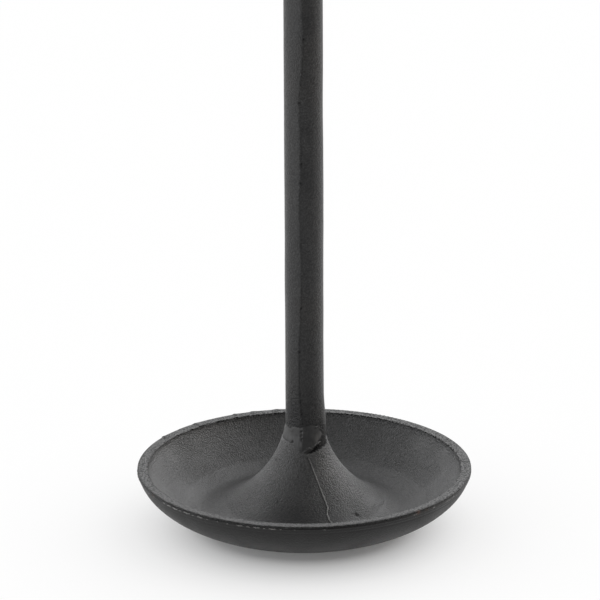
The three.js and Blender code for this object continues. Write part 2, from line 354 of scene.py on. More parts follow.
@dataclass(frozen=True)
class BlackCoat:
    """Black coating on iron, thin enough to show what is under it.

    Attributes:
        name: the material's name.
        colour: the coat where it is full.
        worn_colour: the coat where it is thin or dusty.
        stain_colour: the faint brown of old handling, in broad patches.
        rust_colour: the specks where the coat is gone.
        roughness: the coat's roughness, from its smoothest to its roughest patches.
        specular: the coat's specular level.
        grain_size: the size of the sand grain that shows through, in metres.
        grain_height: how deep that grain is, in metres.
        grain_stretch: the scale of the grain along X, Y and Z; below 1 is longer.
        mottle: how much painted shade darkens and dulls the coat in the grain's hollows, and painted light
            brightens its tops.
        thick_shine: the share of the specular level that is left where painted shade dulls the coat.
        pit_depth: how deep the pits are where the iron was ground, in metres.
        tooth_height: the depth of the coat's own fine tooth, in metres.
        seed: picks the pattern.
    """

    name: str
    colour: Colour
    worn_colour: Colour
    stain_colour: Colour
    specular: float
    grain_height: float
    seed: float
    mottle: float
    roughness: tuple[float, float] = (0.34, 0.42)
    grain_size: float = 0.8 * MM
    grain_stretch: Colour = (1.0, 1.0, 0.8)
    pit_depth: float = 0.3 * MM
    tooth_height: float = 0.03 * MM
    thick_shine: float = 0.36
    rust_colour: Colour = (0.10, 0.040, 0.022)

    def material(self) -> Material:
        """Builds the coat as a material that reads Object coordinates and the skin attributes."""
        material, nodes, surface, place = new_material(self.name)
        cast = nodes.attribute(CAST_ATTRIBUTE)
        ground = nodes.attribute(GROUND_ATTRIBUTE)
        grain = self._grain(nodes, place)
        colour, wear = self._colour(nodes, place, ground)
        # Painted shade in the grain's hollows and painted light on its tops, by the grain's height.
        tops = nodes.ramp(grain, 0.12, 0.56)
        share = nodes.times(nodes.math("SUBTRACT", tops, 0.5), nodes.times(cast, self.mottle))
        share = nodes.math("ADD", share, nodes.times(self._ground_specks(nodes, place), ground))
        # Painted shade: darker colour and specular where the mesh marks an open joint, a seam groove, a pinhole
        # or the corner beside the vein.
        gap = nodes.attribute(PAINTED_SHADE_ATTRIBUTE)
        gap_shade_factor = nodes.ramp(gap, 0.0, 1.0, 1.0, 0.12)
        shade = nodes.times(nodes.math("ADD", 1.0, share), gap_shade_factor)
        # Painted shade: the coat is darker and duller on the outside wall and low in front of the trumpet.
        painted_dull = nodes.attribute(SHADED_DULL_ATTRIBUTE)
        shine = nodes.ramp(painted_dull, 0.0, 1.0, self.specular, self.thick_shine * self.specular)
        pale = nodes.times(shade, nodes.ramp(painted_dull, 0.0, 1.0, 1.0, 0.62))
        nodes.join(nodes.scaled(colour, pale), surface.inputs["Base Color"])
        nodes.join(nodes.times(shade, shine), surface.inputs["Specular IOR Level"])
        nodes.join(self._roughness(nodes, wear, ground), surface.inputs["Roughness"])
        nodes.join(self._relief(nodes, place, grain, cast, ground), surface.inputs["Normal"])
        return material

    def _grain(self, nodes: NodeBuilder, place: object) -> Socket:
        """The height of the sand grain: curled lumps with round hollows between them."""
        stretched = nodes.vector("MULTIPLY", place, self.grain_stretch)
        bent = nodes.noise(place, self.grain_size * 3, self.seed + 1.0, 1.0)
        curled = nodes.vector("ADD", stretched, nodes.scaled((1.0, 1.0, 1.0), nodes.times(bent, 2 * MM)))
        lumps = nodes.noise(curled, self.grain_size, self.seed, 1.5)
        cells = {"Vector": curled, "Scale": 1.0 / (self.grain_size * 1.25), "Smoothness": 0.6}
        pebbles = nodes.add("ShaderNodeTexVoronoi", {"feature": "SMOOTH_F1"}, cells).outputs["Distance"]
        return nodes.math("SUBTRACT", nodes.times(lumps, 1.2), nodes.times(pebbles, 0.6))

    def _ground_specks(self, nodes: NodeBuilder, place: object) -> Socket:
        """Lighter and darker specks where a rim was ground, from -0.7 to 0.7."""
        specks = nodes.noise(place, 1.1 * MM, self.seed + 8.0, 2.0)
        return nodes.ramp(specks, 0.36, 0.64, -0.7, 0.7)

    def _colour(self, nodes: NodeBuilder, place: object, ground: object) -> tuple[Socket, Socket]:
        """The colour, and the share of wear that the roughness follows too."""
        patches = nodes.noise(place, 22 * MM, self.seed, 3.0)
        specks = nodes.noise(place, 0.9 * MM, self.seed + 2.0, 2.0)
        stains = nodes.noise(place, 48 * MM, self.seed + 5.0, 2.0)
        wear = nodes.ramp(nodes.math("ADD", patches, nodes.times(specks, 0.55)), 0.62, 0.95)
        wear = nodes.math("MAXIMUM", nodes.times(wear, 0.55), nodes.times(ground, 0.8))
        base = nodes.mix_colour(wear, (*self.colour, 1), (*self.worn_colour, 1))
        stained = nodes.mix_colour(nodes.ramp(stains, 0.52, 0.75, 0.0, 0.5), base, (*self.stain_colour, 1))
        rust = nodes.attribute(RUST_ATTRIBUTE)
        return nodes.mix_colour(rust, stained, (*self.rust_colour, 1)), wear

    def _roughness(self, nodes: NodeBuilder, wear: object, ground: object) -> Socket:
        """Rougher where the coat is worn or the iron was ground."""
        smooth, rough = self.roughness
        worn = nodes.ramp(wear, 0.0, 0.6, smooth, rough)
        return nodes.math("ADD", worn, nodes.times(ground, 0.08))

    def _relief(self, nodes: NodeBuilder, place: Socket, grain: Socket, cast: Socket, ground: Socket) -> Socket:
        """The sand grain where the skin was left as cast, pits where it was ground, and the coat's tooth."""
        patchy = nodes.ramp(nodes.noise(place, 30 * MM, self.seed + 9.0, 1.0), 0.35, 0.65, 0.6, 1.1)
        strength = nodes.times(cast, patchy)
        coarse = nodes.bump(nodes.times(grain, strength), self.grain_height)
        pits = nodes.noise(place, 1.0 * MM, self.seed + 6.0, 3.0)
        pitted = nodes.bump(nodes.times(pits, ground), self.pit_depth, coarse)
        tooth = nodes.noise(place, 0.45 * MM, self.seed + 4.0, 2.0)
        return nodes.bump(tooth, self.tooth_height, pitted)


@dataclass(frozen=True)
class PadRubber:
    """The soft black rubber of the foot pads, with a fine moulded grain and dust in it.

    Attributes:
        name: the material's name.
        colour: clean rubber.
        dust_colour: rubber with floor dust on it.
        roughness: the rubber's roughness, from clean to dusty.
        grain_size: the size of the moulded grain, in metres.
        grain_height: how deep it is, in metres.
    """

    name: str = "pad_rubber_finish"
    colour: Colour = (0.012, 0.012, 0.012)
    dust_colour: Colour = (0.05, 0.047, 0.043)
    roughness: tuple[float, float] = (0.72, 0.9)
    grain_size: float = 0.6 * MM
    grain_height: float = 0.06 * MM

    def material(self) -> Material:
        """Builds the rubber as a material that reads Object coordinates."""
        material, nodes, surface, place = new_material(self.name)
        dust = nodes.ramp(nodes.noise(place, 5 * MM, 1.0, 3.0), 0.45, 0.7)
        colour = nodes.mix_colour(dust, (*self.colour, 1), (*self.dust_colour, 1))
        nodes.join(colour, surface.inputs["Base Color"])
        nodes.join(nodes.ramp(dust, 0.0, 1.0, *self.roughness), surface.inputs["Roughness"])
        grain = nodes.noise(place, self.grain_size, 3.0, 2.0)
        nodes.join(nodes.bump(grain, self.grain_height), surface.inputs["Normal"])
        return material


CAST_COAT = BlackCoat(
    name="cast_black_finish",
    colour=(0.0056, 0.0056, 0.0057),
    worn_colour=(0.0185, 0.0182, 0.0178),
    stain_colour=(0.0088, 0.0078, 0.0070),
    roughness=(0.45, 0.54),
    specular=0.93,
    grain_height=0.8 * MM,
    pit_depth=1.3 * MM,
    seed=11.0,
    mottle=0.3,
)
STEM_COAT = BlackCoat(
    name="stem_black_finish",
    colour=(0.0105, 0.0105, 0.0109),
    worn_colour=(0.0215, 0.0213, 0.021),
    stain_colour=(0.018, 0.0162, 0.0145),
    specular=0.42,
    grain_height=0.42 * MM,
    seed=23.0,
    mottle=0.35,
)
WELD_COAT = BlackCoat(
    name="weld_black_finish",
    colour=(0.0075, 0.0075, 0.0077),
    worn_colour=(0.015, 0.015, 0.0146),
    stain_colour=(0.014, 0.012, 0.0105),
    specular=0.55,
    grain_size=2.6 * MM,
    grain_height=0.28 * MM,
    grain_stretch=(1.0, 1.0, 0.6),
    tooth_height=0.02 * MM,
    seed=31.0,
    mottle=0.15,
)
PRICKET_COAT = BlackCoat(
    name="pricket_black_finish",
    colour=(0.0098, 0.0098, 0.0102),
    worn_colour=(0.050, 0.049, 0.048),
    stain_colour=(0.022, 0.020, 0.018),
    roughness=(0.32, 0.44),
    specular=0.62,
    grain_height=0.06 * MM,
    grain_stretch=(0.4, 0.4, 1.6),
    pit_depth=0.1 * MM,
    tooth_height=0.015 * MM,
    seed=41.0,
    mottle=0.2,
)
# The flash's pale grey is partly bare iron where it was chipped and partly a painted highlight along the
# thread.
FLASH_COAT = BlackCoat(
    name="chipped_flash_finish",
    colour=(0.09, 0.088, 0.085),
    worn_colour=(0.30, 0.29, 0.28),
    stain_colour=(0.10, 0.085, 0.07),
    roughness=(0.34, 0.48),
    specular=0.62,
    grain_height=0.1 * MM,
    grain_stretch=(1.0, 1.0, 1.0),
    pit_depth=0.1 * MM,
    seed=53.0,
    mottle=0.3,
)
# The vein's pale grey is a painted highlight along the raised line of black-coated iron.
VEIN_COAT = replace(
    FLASH_COAT,
    name="raised_vein_finish",
    colour=(0.105, 0.104, 0.102),
    worn_colour=(0.22, 0.215, 0.21),
    stain_colour=(0.10, 0.095, 0.09),
)


# ---------------------------------------------------------------- outlines


def bezier(start: Point, pull: Point, reach: Point, end: Point) -> Array:
    """A smooth stretch that leaves `start` along `pull` and comes to `end` from `reach`.

    Args:
        start: the first point (radius, height).
        pull: the offset from the start to the point that it leaves towards.
        reach: the offset from the end to the point that it comes from.
        end: the last point.

    Returns:
        Points (radius, height) close together along the stretch.
    """
    first, last = np.array(start, float), np.array(end, float)
    share = np.linspace(0, 1, 800)[:, None]
    rest = 1 - share
    leaving, coming = first + np.array(pull), last + np.array(reach)
    return rest**3 * first + 3 * rest**2 * share * leaving + 3 * rest * share**2 * coming + share**3 * last


def leaning(degrees: float, length: float) -> Array:
    """A direction in the outline's plane, by its slope from level, times a length."""
    slope = math.radians(degrees)
    return np.array([math.cos(slope), math.sin(slope)]) * length


def between(line: Array, low: float, high: float) -> Array:
    """The part of a line from one height to another."""
    return line[(line[:, 1] >= low) & (line[:, 1] < high)]


def radius_at(line: Array, heights: Array) -> Array:
    """The radius of a climbing or falling line at each height."""
    order = np.argsort(line[:, 1])
    return np.interp(heights, line[order, 1], line[order, 0])


def smooth_step(share: Array) -> Array:
    """0 to 1 along a smooth curve while the share goes from 0 to 1."""
    return share * share * (3 - 2 * share)


def smooth_bump(distance: Array, width: float) -> Array:
    """1 at no distance, falling smoothly to nearly 0 at twice the width."""
    return np.exp(-((distance / width) ** 2))


def angle_gap(first: Array, second: float) -> Array:
    """The difference of two angles in radians, between minus and plus half a turn."""
    return (first - second + math.pi) % FULL_TURN - math.pi


@dataclass
class Outline:
    """The outline of a turned piece, built stretch by stretch from the underside round to the top.

    Attributes:
        rows: (radius, height, share of cast skin, share of ground surface) of each ring.
    """

    rows: list[tuple[float, float, float, float]] = field(default_factory=list)

    def add(self, points: Sequence[Point], spacing: float, skin: Skin) -> "Outline":
        """Adds a stretch with its rings evenly spaced.

        Args:
            points: the stretch as (radius, height) points.
            spacing: about how far apart its rings are, in metres.
            skin: how the iron was left there.

        Returns:
            The outline itself, so that stretches can follow one another.
        """
        line = np.array(points, float)
        steps = np.hypot(*np.diff(line, axis=0).T)
        along = np.concatenate([[0.0], np.cumsum(steps)])
        count = max(1, math.ceil(along[-1] / spacing))
        stops = np.linspace(0, along[-1], count + 1)
        for radius, height in zip(np.interp(stops, along, line[:, 0]), np.interp(stops, along, line[:, 1])):
            last = self.rows[-1][:2] if self.rows else (math.inf, math.inf)
            if math.dist(last, (radius, height)) > SAME_PLACE:
                self.rows.append((float(radius), float(height), *skin.value))
        return self

    def line(self, end: Point, spacing: float, skin: Skin = Skin.TURNED) -> "Outline":
        """Adds a straight stretch from where the outline has come to, as `add` does."""
        return self.add([self.rows[-1][:2], end], spacing, skin)

    def corner(
        self, before: Array, corner: Array, after: Array, radius: float, skin: Skin
    ) -> "Outline":
        """Adds a rounded corner between two straight stretches, with its rings close together."""
        to_before = (before - corner) / np.hypot(*(before - corner))
        to_after = (after - corner) / np.hypot(*(after - corner))
        half = math.acos(float(np.clip(to_before @ to_after, -1, 1))) / 2
        reach = radius / math.tan(half)
        start, end = corner + to_before * reach, corner + to_after * reach
        share = np.linspace(0, 1, 9)[:, None]
        points = (1 - share) ** 2 * start + 2 * (1 - share) * share * corner + share**2 * end
        return self.add(points, radius / 2.5, skin)

    def rim(
        self, walls: Sequence[Array], edges: Sequence[Array], radius: float, spacing: float, inner_skin: Skin
    ) -> "Outline":
        """Adds a flat ground rim with rounded edges, between the outside wall and the inside one.

        Args:
            walls: the outside wall up to the rim, and the inside wall down from it.
            edges: the rim's outer and inner corner, as if they were sharp.
            radius: how round those corners are.
            spacing: about how far apart the rings of the flat part are.
            inner_skin: how the inner corner was left.

        Returns:
            The outline itself.
        """
        outer, inner = edges
        self.corner(walls[0][-1], outer, inner, radius, Skin.WORN)
        self.add([outer - (radius, 0), inner + (radius, 0)], spacing, Skin.GROUND)
        return self.corner(outer, inner, walls[1][0], radius, inner_skin)

    def mesh(self, name: str, level: float) -> bpy.types.Mesh:
        """The outline as one vertex for each ring, with its skin as attributes.

        Args:
            name: the mesh's name.
            level: how high the outline's own zero stands above the floor.

        Returns:
            The mesh that the turned casting tree starts from.
        """
        rows = np.array(self.rows)
        mesh = bpy.data.meshes.new(name)
        mesh.from_pydata([(radius, 0.0, height + level) for radius, height in rows[:, :2]], [], [])
        for column, attribute in ((2, CAST_ATTRIBUTE), (3, GROUND_ATTRIBUTE)):
            values = rows[:, column].copy()
            for _ in range(2):
                values[1:-1] = (values[:-2] + 2 * values[1:-1] + values[2:]) / 4
            set_values(mesh, attribute, values)
        return mesh


@dataclass(frozen=True)
class CastSkin:
    """The relief that a sand mould leaves, as the turned casting tree needs it, in metres."""

    swell_size: float = 24 * MM
    swell_height: float = 0.55 * MM
    grain_size: float = 2.4 * MM
    grain_height: float = 0.17 * MM
    grain_stretch: Colour = (1.0, 1.0, 0.65)
    seed: float = 5.0

    def inputs(self) -> dict[str, object]:
        """The tree's named inputs, which have the same names as the fields."""
        return {name.replace("_", " ").title(): value for name, value in vars(self).items()}


@dataclass
class TurnedPiece:
    """A piece that is turned about the stem's axis. Each kind has its own sizes and outline."""

    segments: int
    skin: CastSkin

    def outline(self) -> Outline:
        """The piece's outline, heights from its own zero."""
        raise NotImplementedError

    def turn(self, tree: GeometryTree, name: str, level: float, coat: Material) -> Thing:
        """Turns the outline and gives it its cast skin.

        Args:
            tree: the turned casting tree.
            name: the finished piece's name.
            level: how high the outline's zero stands above the floor.
            coat: the piece's finish.

        Returns:
            The piece as a plain mesh object.
        """
        values = {"Segments": self.segments, "Material": coat, **self.skin.inputs()}
        return tree.make(name, self.outline().mesh(name + "_outline", level), values)


# ---------------------------------------------------------------- meshes


def new_object(name: str, mesh: bpy.types.Mesh) -> Thing:
    """Puts a mesh into the scene under a name, at the origin."""
    mesh.name = name
    thing = bpy.data.objects.new(name, mesh)
    bpy.context.scene.collection.objects.link(thing)
    return thing


def vertices_of(thing: Thing, what: str = "co") -> Array:
    """The places of an object's vertices, or their outward directions ("normal"), one row each."""
    flat = np.empty(len(thing.data.vertices) * 3, np.float32)
    thing.data.vertices.foreach_get(what, flat)
    return flat.reshape(-1, 3).astype(float)


def values_of(mesh: bpy.types.Mesh, name: str) -> Array:
    """The numbers that a mesh holds under a name, one for each vertex."""
    values = np.empty(len(mesh.vertices), np.float32)
    mesh.attributes[name].data.foreach_get("value", values)
    return values


def set_values(mesh: bpy.types.Mesh, name: str, values: Array) -> None:
    """Stores a number for each vertex of a mesh under a name."""
    held = mesh.attributes.get(name) or mesh.attributes.new(name, "FLOAT", "POINT")
    held.data.foreach_set("value", np.asarray(values, np.float32))


def set_vertices(thing: Thing, places: Array) -> None:
    """Moves an object's vertices to new places."""
    thing.data.vertices.foreach_set("co", places.astype(np.float32).ravel())
    thing.data.update()


def round_places(places: Array) -> tuple[Array, Array, Array]:
    """The radius, angle and height of each place."""
    radius = np.hypot(places[:, 0], places[:, 1])
    return radius, np.arctan2(places[:, 0], -places[:, 1]), places[:, 2]


def on_circle(radius: Array, angle: Array, height: Array) -> Array:
    """Places from radius, angle and height."""
    return np.stack([radius * np.sin(angle), -radius * np.cos(angle), height], axis=-1)


def distance_to_path(places: Array, path: Array) -> Array:
    """How far each place is from a path of straight steps."""
    nearest = np.full(len(places), np.inf)
    for start, end in zip(path[:-1], path[1:]):
        step = end - start
        share = np.clip((places - start) @ step / (step @ step), 0, 1)
        nearest = np.minimum(nearest, np.linalg.norm(places - start - share[:, None] * step, axis=1))
    return nearest


def smooth_path(points: Array, steps: int) -> Array:
    """A smooth path through chosen points, with `steps` steps between each two."""
    ends = np.vstack([2 * points[0] - points[1], points, 2 * points[-1] - points[-2]])
    share = np.linspace(0, 1, steps, endpoint=False)[:, None]
    made = []
    for before, start, end, after in zip(ends[:-3], ends[1:-2], ends[2:-1], ends[3:]):
        bend = 2 * before - 5 * start + 4 * end - after
        turn = 3 * start - before - 3 * end + after
        made.append(start + 0.5 * share * (end - before + share * (bend + share * turn)))
    return np.vstack([*made, points[-1:]])


@dataclass(frozen=True)
class RoundTable:
    """A value that changes smoothly round the stem, given at a few angles.

    Attributes:
        stations: (degrees, value) pairs, once round.
        blur: how far the value is smoothed each way, in degrees.
    """

    stations: Table
    blur: float = 8

    def at(self, angle: Array) -> Array:
        """The value at each angle."""
        degrees, values = np.array(self.stations, float).T
        turn = np.degrees(angle)
        total = np.zeros_like(np.asarray(turn, float))
        for share in (-1.0, -0.5, 0.0, 0.5, 1.0):
            total += np.interp(turn + share * self.blur, degrees, values, period=360) / 5
        return total


@dataclass(frozen=True)
class StemForm:
    """What the stem's casting and its base weld share: the mould's joint line and the swollen right side.

    Attributes:
        joint_offsets: (height above the floor, offset to the right of the front) of the joint, in mm.
        ridge_height: how proud the joint line stands.
        skin_thickness: how far the cast skin and its coat stand out from the turned size.
        side_shift: how far to the right of the dish's centre the stem was welded.
        shift_levels: the heights above the floor at which that shift begins, is full, goes back and ends.
        ridge_spread: how fast the ridge falls off to the left, in radians.
        step_spread: how fast it falls off to the right, where the mould's halves didn't quite meet.
        swell_height: how far the stem bulges to the right above the base.
        swell_levels: the heights above the floor between which the bulge grows from nothing.
        swell_round: the bulge's share round the stem.
    """

    joint_offsets: Table = (
        (40, -0.6), (76, -0.7), (81, -2.1), (100, -3.3), (128, -3.3), (160, -1.8), (190, -1.7), (233, -3.5),
        (250, -1.4), (278, -2.1), (298, -3.2), (335, 0.2), (352, 0.0), (410, -2.6), (450, -1.2), (500, -2.8),
        (540, -1.5), (590, -3.1), (640, -1.8), (690, -2.9), (740, -1.4), (793, -2.0),
    )
    ridge_height: float = 0.80 * MM
    ridge_spread: float = 0.36
    step_spread: float = 0.075
    skin_thickness: float = 0.28 * MM
    side_shift: float = 0.45 * MM
    shift_levels: tuple[float, ...] = (55 * MM, 80 * MM, 380 * MM, 780 * MM)
    swell_height: float = 1.75 * MM
    swell_levels: tuple[float, float] = (66 * MM, 97 * MM)
    swell_round: RoundTable = RoundTable((
        (0, 0), (36, 0.02), (50, 0.25), (66, 0.85), (90, 1), (115, 0.9), (170, 0),
    ), 4)

    def joint(self, height: Array, radius: float) -> Array:
        """The angle of the joint line at each height."""
        levels, offsets = np.array(self.joint_offsets).T * MM
        total = np.zeros_like(np.asarray(height, float))
        for shift in (-6 * MM, 0.0, 6 * MM):
            total += np.interp(height + shift, levels, offsets) / 3
        return total / radius

    def shift(self, height: Array) -> Array:
        """How far the stem stands to the right at each height above the floor; it ends true under the pan."""
        low, full, falling, end = self.shift_levels
        rise = smooth_step(np.clip((height - low) / (full - low), 0, 1))
        return self.side_shift * rise * smooth_step(np.clip((end - height) / (end - falling), 0, 1))

    def ridge(self, gap: Array) -> Array:
        """How proud the surface stands at each angle from the joint line."""
        spread = np.where(gap < 0, self.ridge_spread, self.step_spread)
        return self.ridge_height * np.exp(-np.abs(gap) / spread)

    def swell(self, angle: Array, height: Array) -> Array:
        """How far the surface bulges at each angle and height above the floor."""
        low, high = self.swell_levels
        share = np.clip((high - height) / (high - low), 0, 1)
        return self.swell_height * smooth_step(share) * self.swell_round.at(angle)


@dataclass(frozen=True)
class Waviness:
    """An uneven hand-made wave round the stem, from a few sines with a fixed seed."""

    seed: int
    waves: tuple[int, ...] = (2, 3, 5, 8)

    def at(self, angle: Array) -> Array:
        """The wave at each angle, between about -1 and 1."""
        draw = np.random.default_rng(self.seed)
        total = np.zeros_like(np.asarray(angle, float))
        for count in self.waves:
            total += np.sin(count * angle + draw.uniform(0, FULL_TURN)) * draw.uniform(0.5, 1.0) / count**0.5
        return total / 2


@dataclass(frozen=True)
class Ripple:
    """Low relief on a hand-dressed surface: plane waves of about one size, with a fixed seed."""

    seed: int
    size: float
    height: float
    count: int = 24

    def at(self, places: Array) -> Array:
        """The relief at each place, in metres."""
        draw = np.random.default_rng(self.seed)
        total = np.zeros(places.shape[:-1])
        for _ in range(self.count):
            direction = draw.normal(size=3)
            direction *= FULL_TURN / (self.size * draw.uniform(0.7, 1.5)) / np.linalg.norm(direction)
            total += np.sin(places @ direction + draw.uniform(0, FULL_TURN))
        return total * self.height / math.sqrt(self.count)


def ring_mesh(name: str, sections: Array) -> bpy.types.Mesh:
    """A closed ring from closed sections that follow one another round the stem.

    Args:
        name: the mesh's name.
        sections: places, as (turns, points of a section, 3).

    Returns:
        The mesh, smooth, with its faces pointing out.
    """
    turns, count, _ = sections.shape
    turn, corner = np.meshgrid(np.arange(turns), np.arange(count), indexing="ij")
    after, following = (turn + 1) % turns, (corner + 1) % count
    quads = np.stack(
        [turn * count + corner, after * count + corner, after * count + following, turn * count + following],
        axis=-1,
    )
    mesh = bpy.data.meshes.new(name)
    mesh.from_pydata(sections.reshape(-1, 3).tolist(), [], quads.reshape(-1, 4).tolist())
    mesh.shade_smooth()
    return mesh


def chains_mesh(name: str, chains: Sequence[tuple[Array, Array]]) -> bpy.types.Mesh:
    """Separate chains of edges, for the iron thread tree.

    Args:
        name: the mesh's name.
        chains: the places along each chain, and the thread's half width at each.

    Returns:
        The mesh, with the half width as an attribute.
    """
    places, edges, widths = [], [], []
    for path, half in chains:
        first = len(places)
        places += path.tolist()
        widths += half.tolist()
        edges += [(first + step, first + step + 1) for step in range(len(path) - 1)]
    mesh = bpy.data.meshes.new(name)
    mesh.from_pydata(places, edges, [])
    set_values(mesh, WIDTH_ATTRIBUTE, widths)
    return mesh


def dress(piece: Thing, slot: Slot, *nodes: str) -> None:
    """Makes a finished piece ride on the stand, in place of its CAD nodes if it has any, and logs it.

    Args:
        piece: the finished piece.
        slot: its material slot; not used.
        nodes: the CAD nodes that it replaces.
    """
    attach(piece, "root")
    if nodes:
        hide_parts(*nodes)
    size = ", ".join(f"{part / MM:.1f}" for part in piece.dimensions)
    LOG.info("%s: %s mm, %d faces", piece.name, size, len(piece.data.polygons))


# ---------------------------------------------------------------- base dish


@dataclass
class SpigotCasting(TurnedPiece):
    """A casting that takes one end of the stem: the sizes of that joint and of its rim."""

    edge_radius: float = 0.8 * MM
    stem_radius: float = 12.7 * MM
    spigot_radius: float = 10.4 * MM
    spigot_length: float = 22 * MM
    spigot_lead_in: float = 1.5 * MM
    shoulder: float = 12 * MM


@dataclass
class BaseDish(SpigotCasting):
    """The cast dish whose middle rises in a trumpet. Sizes in metres, heights from the foot ring.

    Attributes:
        rust_specks: (degrees, mm below the rim, mm across, strength) of each speck.
        nicks: (mm from the axis, degrees, mm across, mm deep) of each small pit.
        fine_front: where the grain is finer low in front: (degrees, radians across, radius, width).
        dull_front: where painted shade darkens and dulls the coat low in front, in the same way.
        smooth_walls: how much finer the grain is on the inside wall, round the dish.
        rim_grinding: how far the rim was ground, round the dish.
        joint_step: how proud the outside wall stands down to its joint line, round the dish.
        ragged_edge: the ragged part of the edge: its middle, its spread and its pitch in degrees.
        burr_degrees: where the burrs stand on the edge.
        crack_degrees: where the hair crack runs over the rim.
    """

    rim_diameter: float = 228 * MM
    depth: float = 38.5 * MM
    rim_width: float = 7 * MM
    rim_lean: float = 81.8
    wall_pull: float = 28.0 * MM
    belly_pull: float = 0.6 * MM
    near_rim: float = 7 * MM
    near_edge: float = 3 * MM
    low_edge: float = 0.8 * MM
    low_inner_edge: float = 1.1 * MM
    trough_lip: float = 5 * MM
    fine_top: float = 6 * MM
    hollow_depth: float = 30 * MM
    inside_lean: float = 70
    inside_wall_pull: float = 13 * MM
    inside_floor_pull: float = 12 * MM
    cast_wall: float = 6.5 * MM
    trough_radius: float = 70 * MM
    trumpet_rise: float = 38.5 * MM
    trumpet_upright_pull: float = 41.5 * MM
    trumpet_level_pull: float = 16 * MM
    joint_rise: float = 21.5 * MM
    roof: float = 12 * MM
    foot_ring_inner: float = 44.5 * MM
    foot_ring_outer: float = 59.0 * MM
    stem_room: float = 0.35 * MM
    gap_depth: float = 2.6 * MM
    fine_front: tuple[float, ...] = (-6, 0.55, 50 * MM, 19 * MM)
    dull_front: tuple[float, ...] = (-3, 0.85, 54 * MM, 27 * MM)
    rust_specks: Table = (
        (41.5, 0.9, 1.5, 0.9), (45.5, 1.2, 1.0, 0.5), (-63.0, 1.6, 1.3, 0.5), (128.0, 1.0, 1.4, 0.6),
        (236.0, 1.4, 1.2, 0.6),
    )
    nicks: Table = (
        (49.7, 45.4, 1.0, 1.9), (62.0, 132.0, 1.1, 0.9), (38.0, -28.0, 0.9, 0.6), (84.0, -64.0, 1.0, 0.6),
    )
    smooth_walls: RoundTable = RoundTable((
        (0, 0.35), (60, 0.4), (100, 0.35), (140, 0.1), (215, 0.0), (250, 0.2), (290, 0.4),
    ))
    rim_grinding: RoundTable = RoundTable(((0, 0.55), (35, 0.75), (80, 1), (180, 1), (280, 1), (325, 0.75)))
    joint_step: RoundTable = RoundTable(((0, 0.35), (22, 1), (78, 1), (95, 0.3), (270, 0.3)))
    ragged_edge: tuple[float, float, float] = (157, 10, 1.72)
    burr_degrees: tuple[float, ...] = (240, 223, 206, 199, 190.5)
    crack_degrees: float = 92.8
    segments: int = 432
    ring_spacing: float = 1.12 * MM
    skin: CastSkin = CastSkin()
    level: float = field(default_factory=lambda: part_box("base_dish")[0].z)

    @property
    def rim_level(self) -> float:
        """How high the rim stands above the floor."""
        return self.level + self.depth

    def trumpet(self) -> Array:
        """The trumpet's line, from the trough up to the line of the stem."""
        floor = self.depth - self.hollow_depth
        return bezier(
            (self.trough_radius, floor),
            (-self.trumpet_level_pull, 0),
            (0, -self.trumpet_upright_pull),
            (self.stem_radius, self.depth + self.trumpet_rise),
        )

    def _wall(self) -> Array:
        """The inside of the wall, from the rim down to the trough."""
        return bezier(
            (self.rim_diameter / 2 - self.rim_width, self.depth),
            leaning(self.inside_lean, -self.inside_wall_pull),
            (self.inside_floor_pull, 0),
            (self.trough_radius, self.depth - self.hollow_depth),
        )

    def _underside(self) -> Array:
        """The hollow under the trumpet, an even wall below it, from its roof to the foot ring."""
        line = self.trumpet()
        along = np.gradient(line, axis=0)
        along /= np.hypot(*along.T)[:, None]
        lower = line - np.stack([along[:, 1], -along[:, 0]], axis=1) * self.cast_wall
        if lower[0, 1] > line[0, 1]:
            lower = 2 * line - lower
        roof = self.depth + self.shoulder - self.roof
        kept = lower[(lower[:, 1] < roof) & (lower[:, 0] < self.foot_ring_inner)][::-1]
        return np.vstack([(kept[0, 0], roof), kept, (self.foot_ring_inner, kept[-1, 1])])

    def outline(self) -> Outline:
        """The whole outline, from the hollow's roof round to the top of the spigot."""
        rim, fine = self.depth, self.ring_spacing
        outer = np.array([self.rim_diameter / 2, rim])
        inner = outer - (self.rim_width, 0)
        slope = leaning(self.rim_lean, -self.wall_pull)
        outside = bezier((self.foot_ring_outer, 0), (self.belly_pull, 0), slope, outer)
        edge_wall = between(outside, rim - self.near_edge, rim - self.low_edge)
        wall = between(self._wall(), 0, rim - self.low_inner_edge)
        trumpet = self.trumpet()
        trough_top = rim - self.hollow_depth + self.trough_lip
        top = between(trumpet, rim + self.fine_top, rim + self.joint_rise)
        hollow = self._underside()
        room = self.stem_radius + self.stem_room
        shoulder = rim + self.shoulder
        tip = shoulder + self.spigot_length
        made = Outline()
        made.add([(0, hollow[0, 1]), hollow[0]], 6 * MM, Skin.SAND_CAST)
        made.add(hollow, 5 * MM, Skin.SAND_CAST)
        made.line((self.foot_ring_inner, 0), 5 * MM, Skin.SAND_CAST)
        made.line((self.foot_ring_outer, 0), 5 * MM)
        made.add(between(outside, -1, rim - self.near_rim), fine * 1.7, Skin.FINE_CAST)
        made.add(between(outside, rim - self.near_rim, rim - self.near_edge), fine * 0.5, Skin.FINE_CAST)
        made.add(edge_wall, fine * 0.22, Skin.FINE_CAST)
        made.rim((edge_wall, wall), (outer, inner), self.edge_radius, 0.6 * MM, Skin.RUBBED)
        made.add(between(wall, trough_top, rim), fine * 1.3, Skin.SAND_CAST)
        made.add(between(wall, 0, trough_top), fine * 1.3, Skin.SOFT_CAST)
        made.add(between(trumpet, 0, trough_top), fine * 1.3, Skin.SOFT_CAST)
        made.add(between(trumpet, trough_top, rim + self.fine_top), fine, Skin.SAND_CAST)
        made.add(top, fine * 0.5, Skin.SAND_CAST)
        made.line((room, top[-1, 1]), 1 * MM)
        made.line((room, shoulder), 5 * MM)
        made.line((self.spigot_radius, shoulder), 3 * MM)
        made.line((self.spigot_radius, tip - self.spigot_lead_in), 9 * MM)
        made.line((self.spigot_radius - self.spigot_lead_in, tip), 3 * MM)
        return made.line((0, tip), 9 * MM)

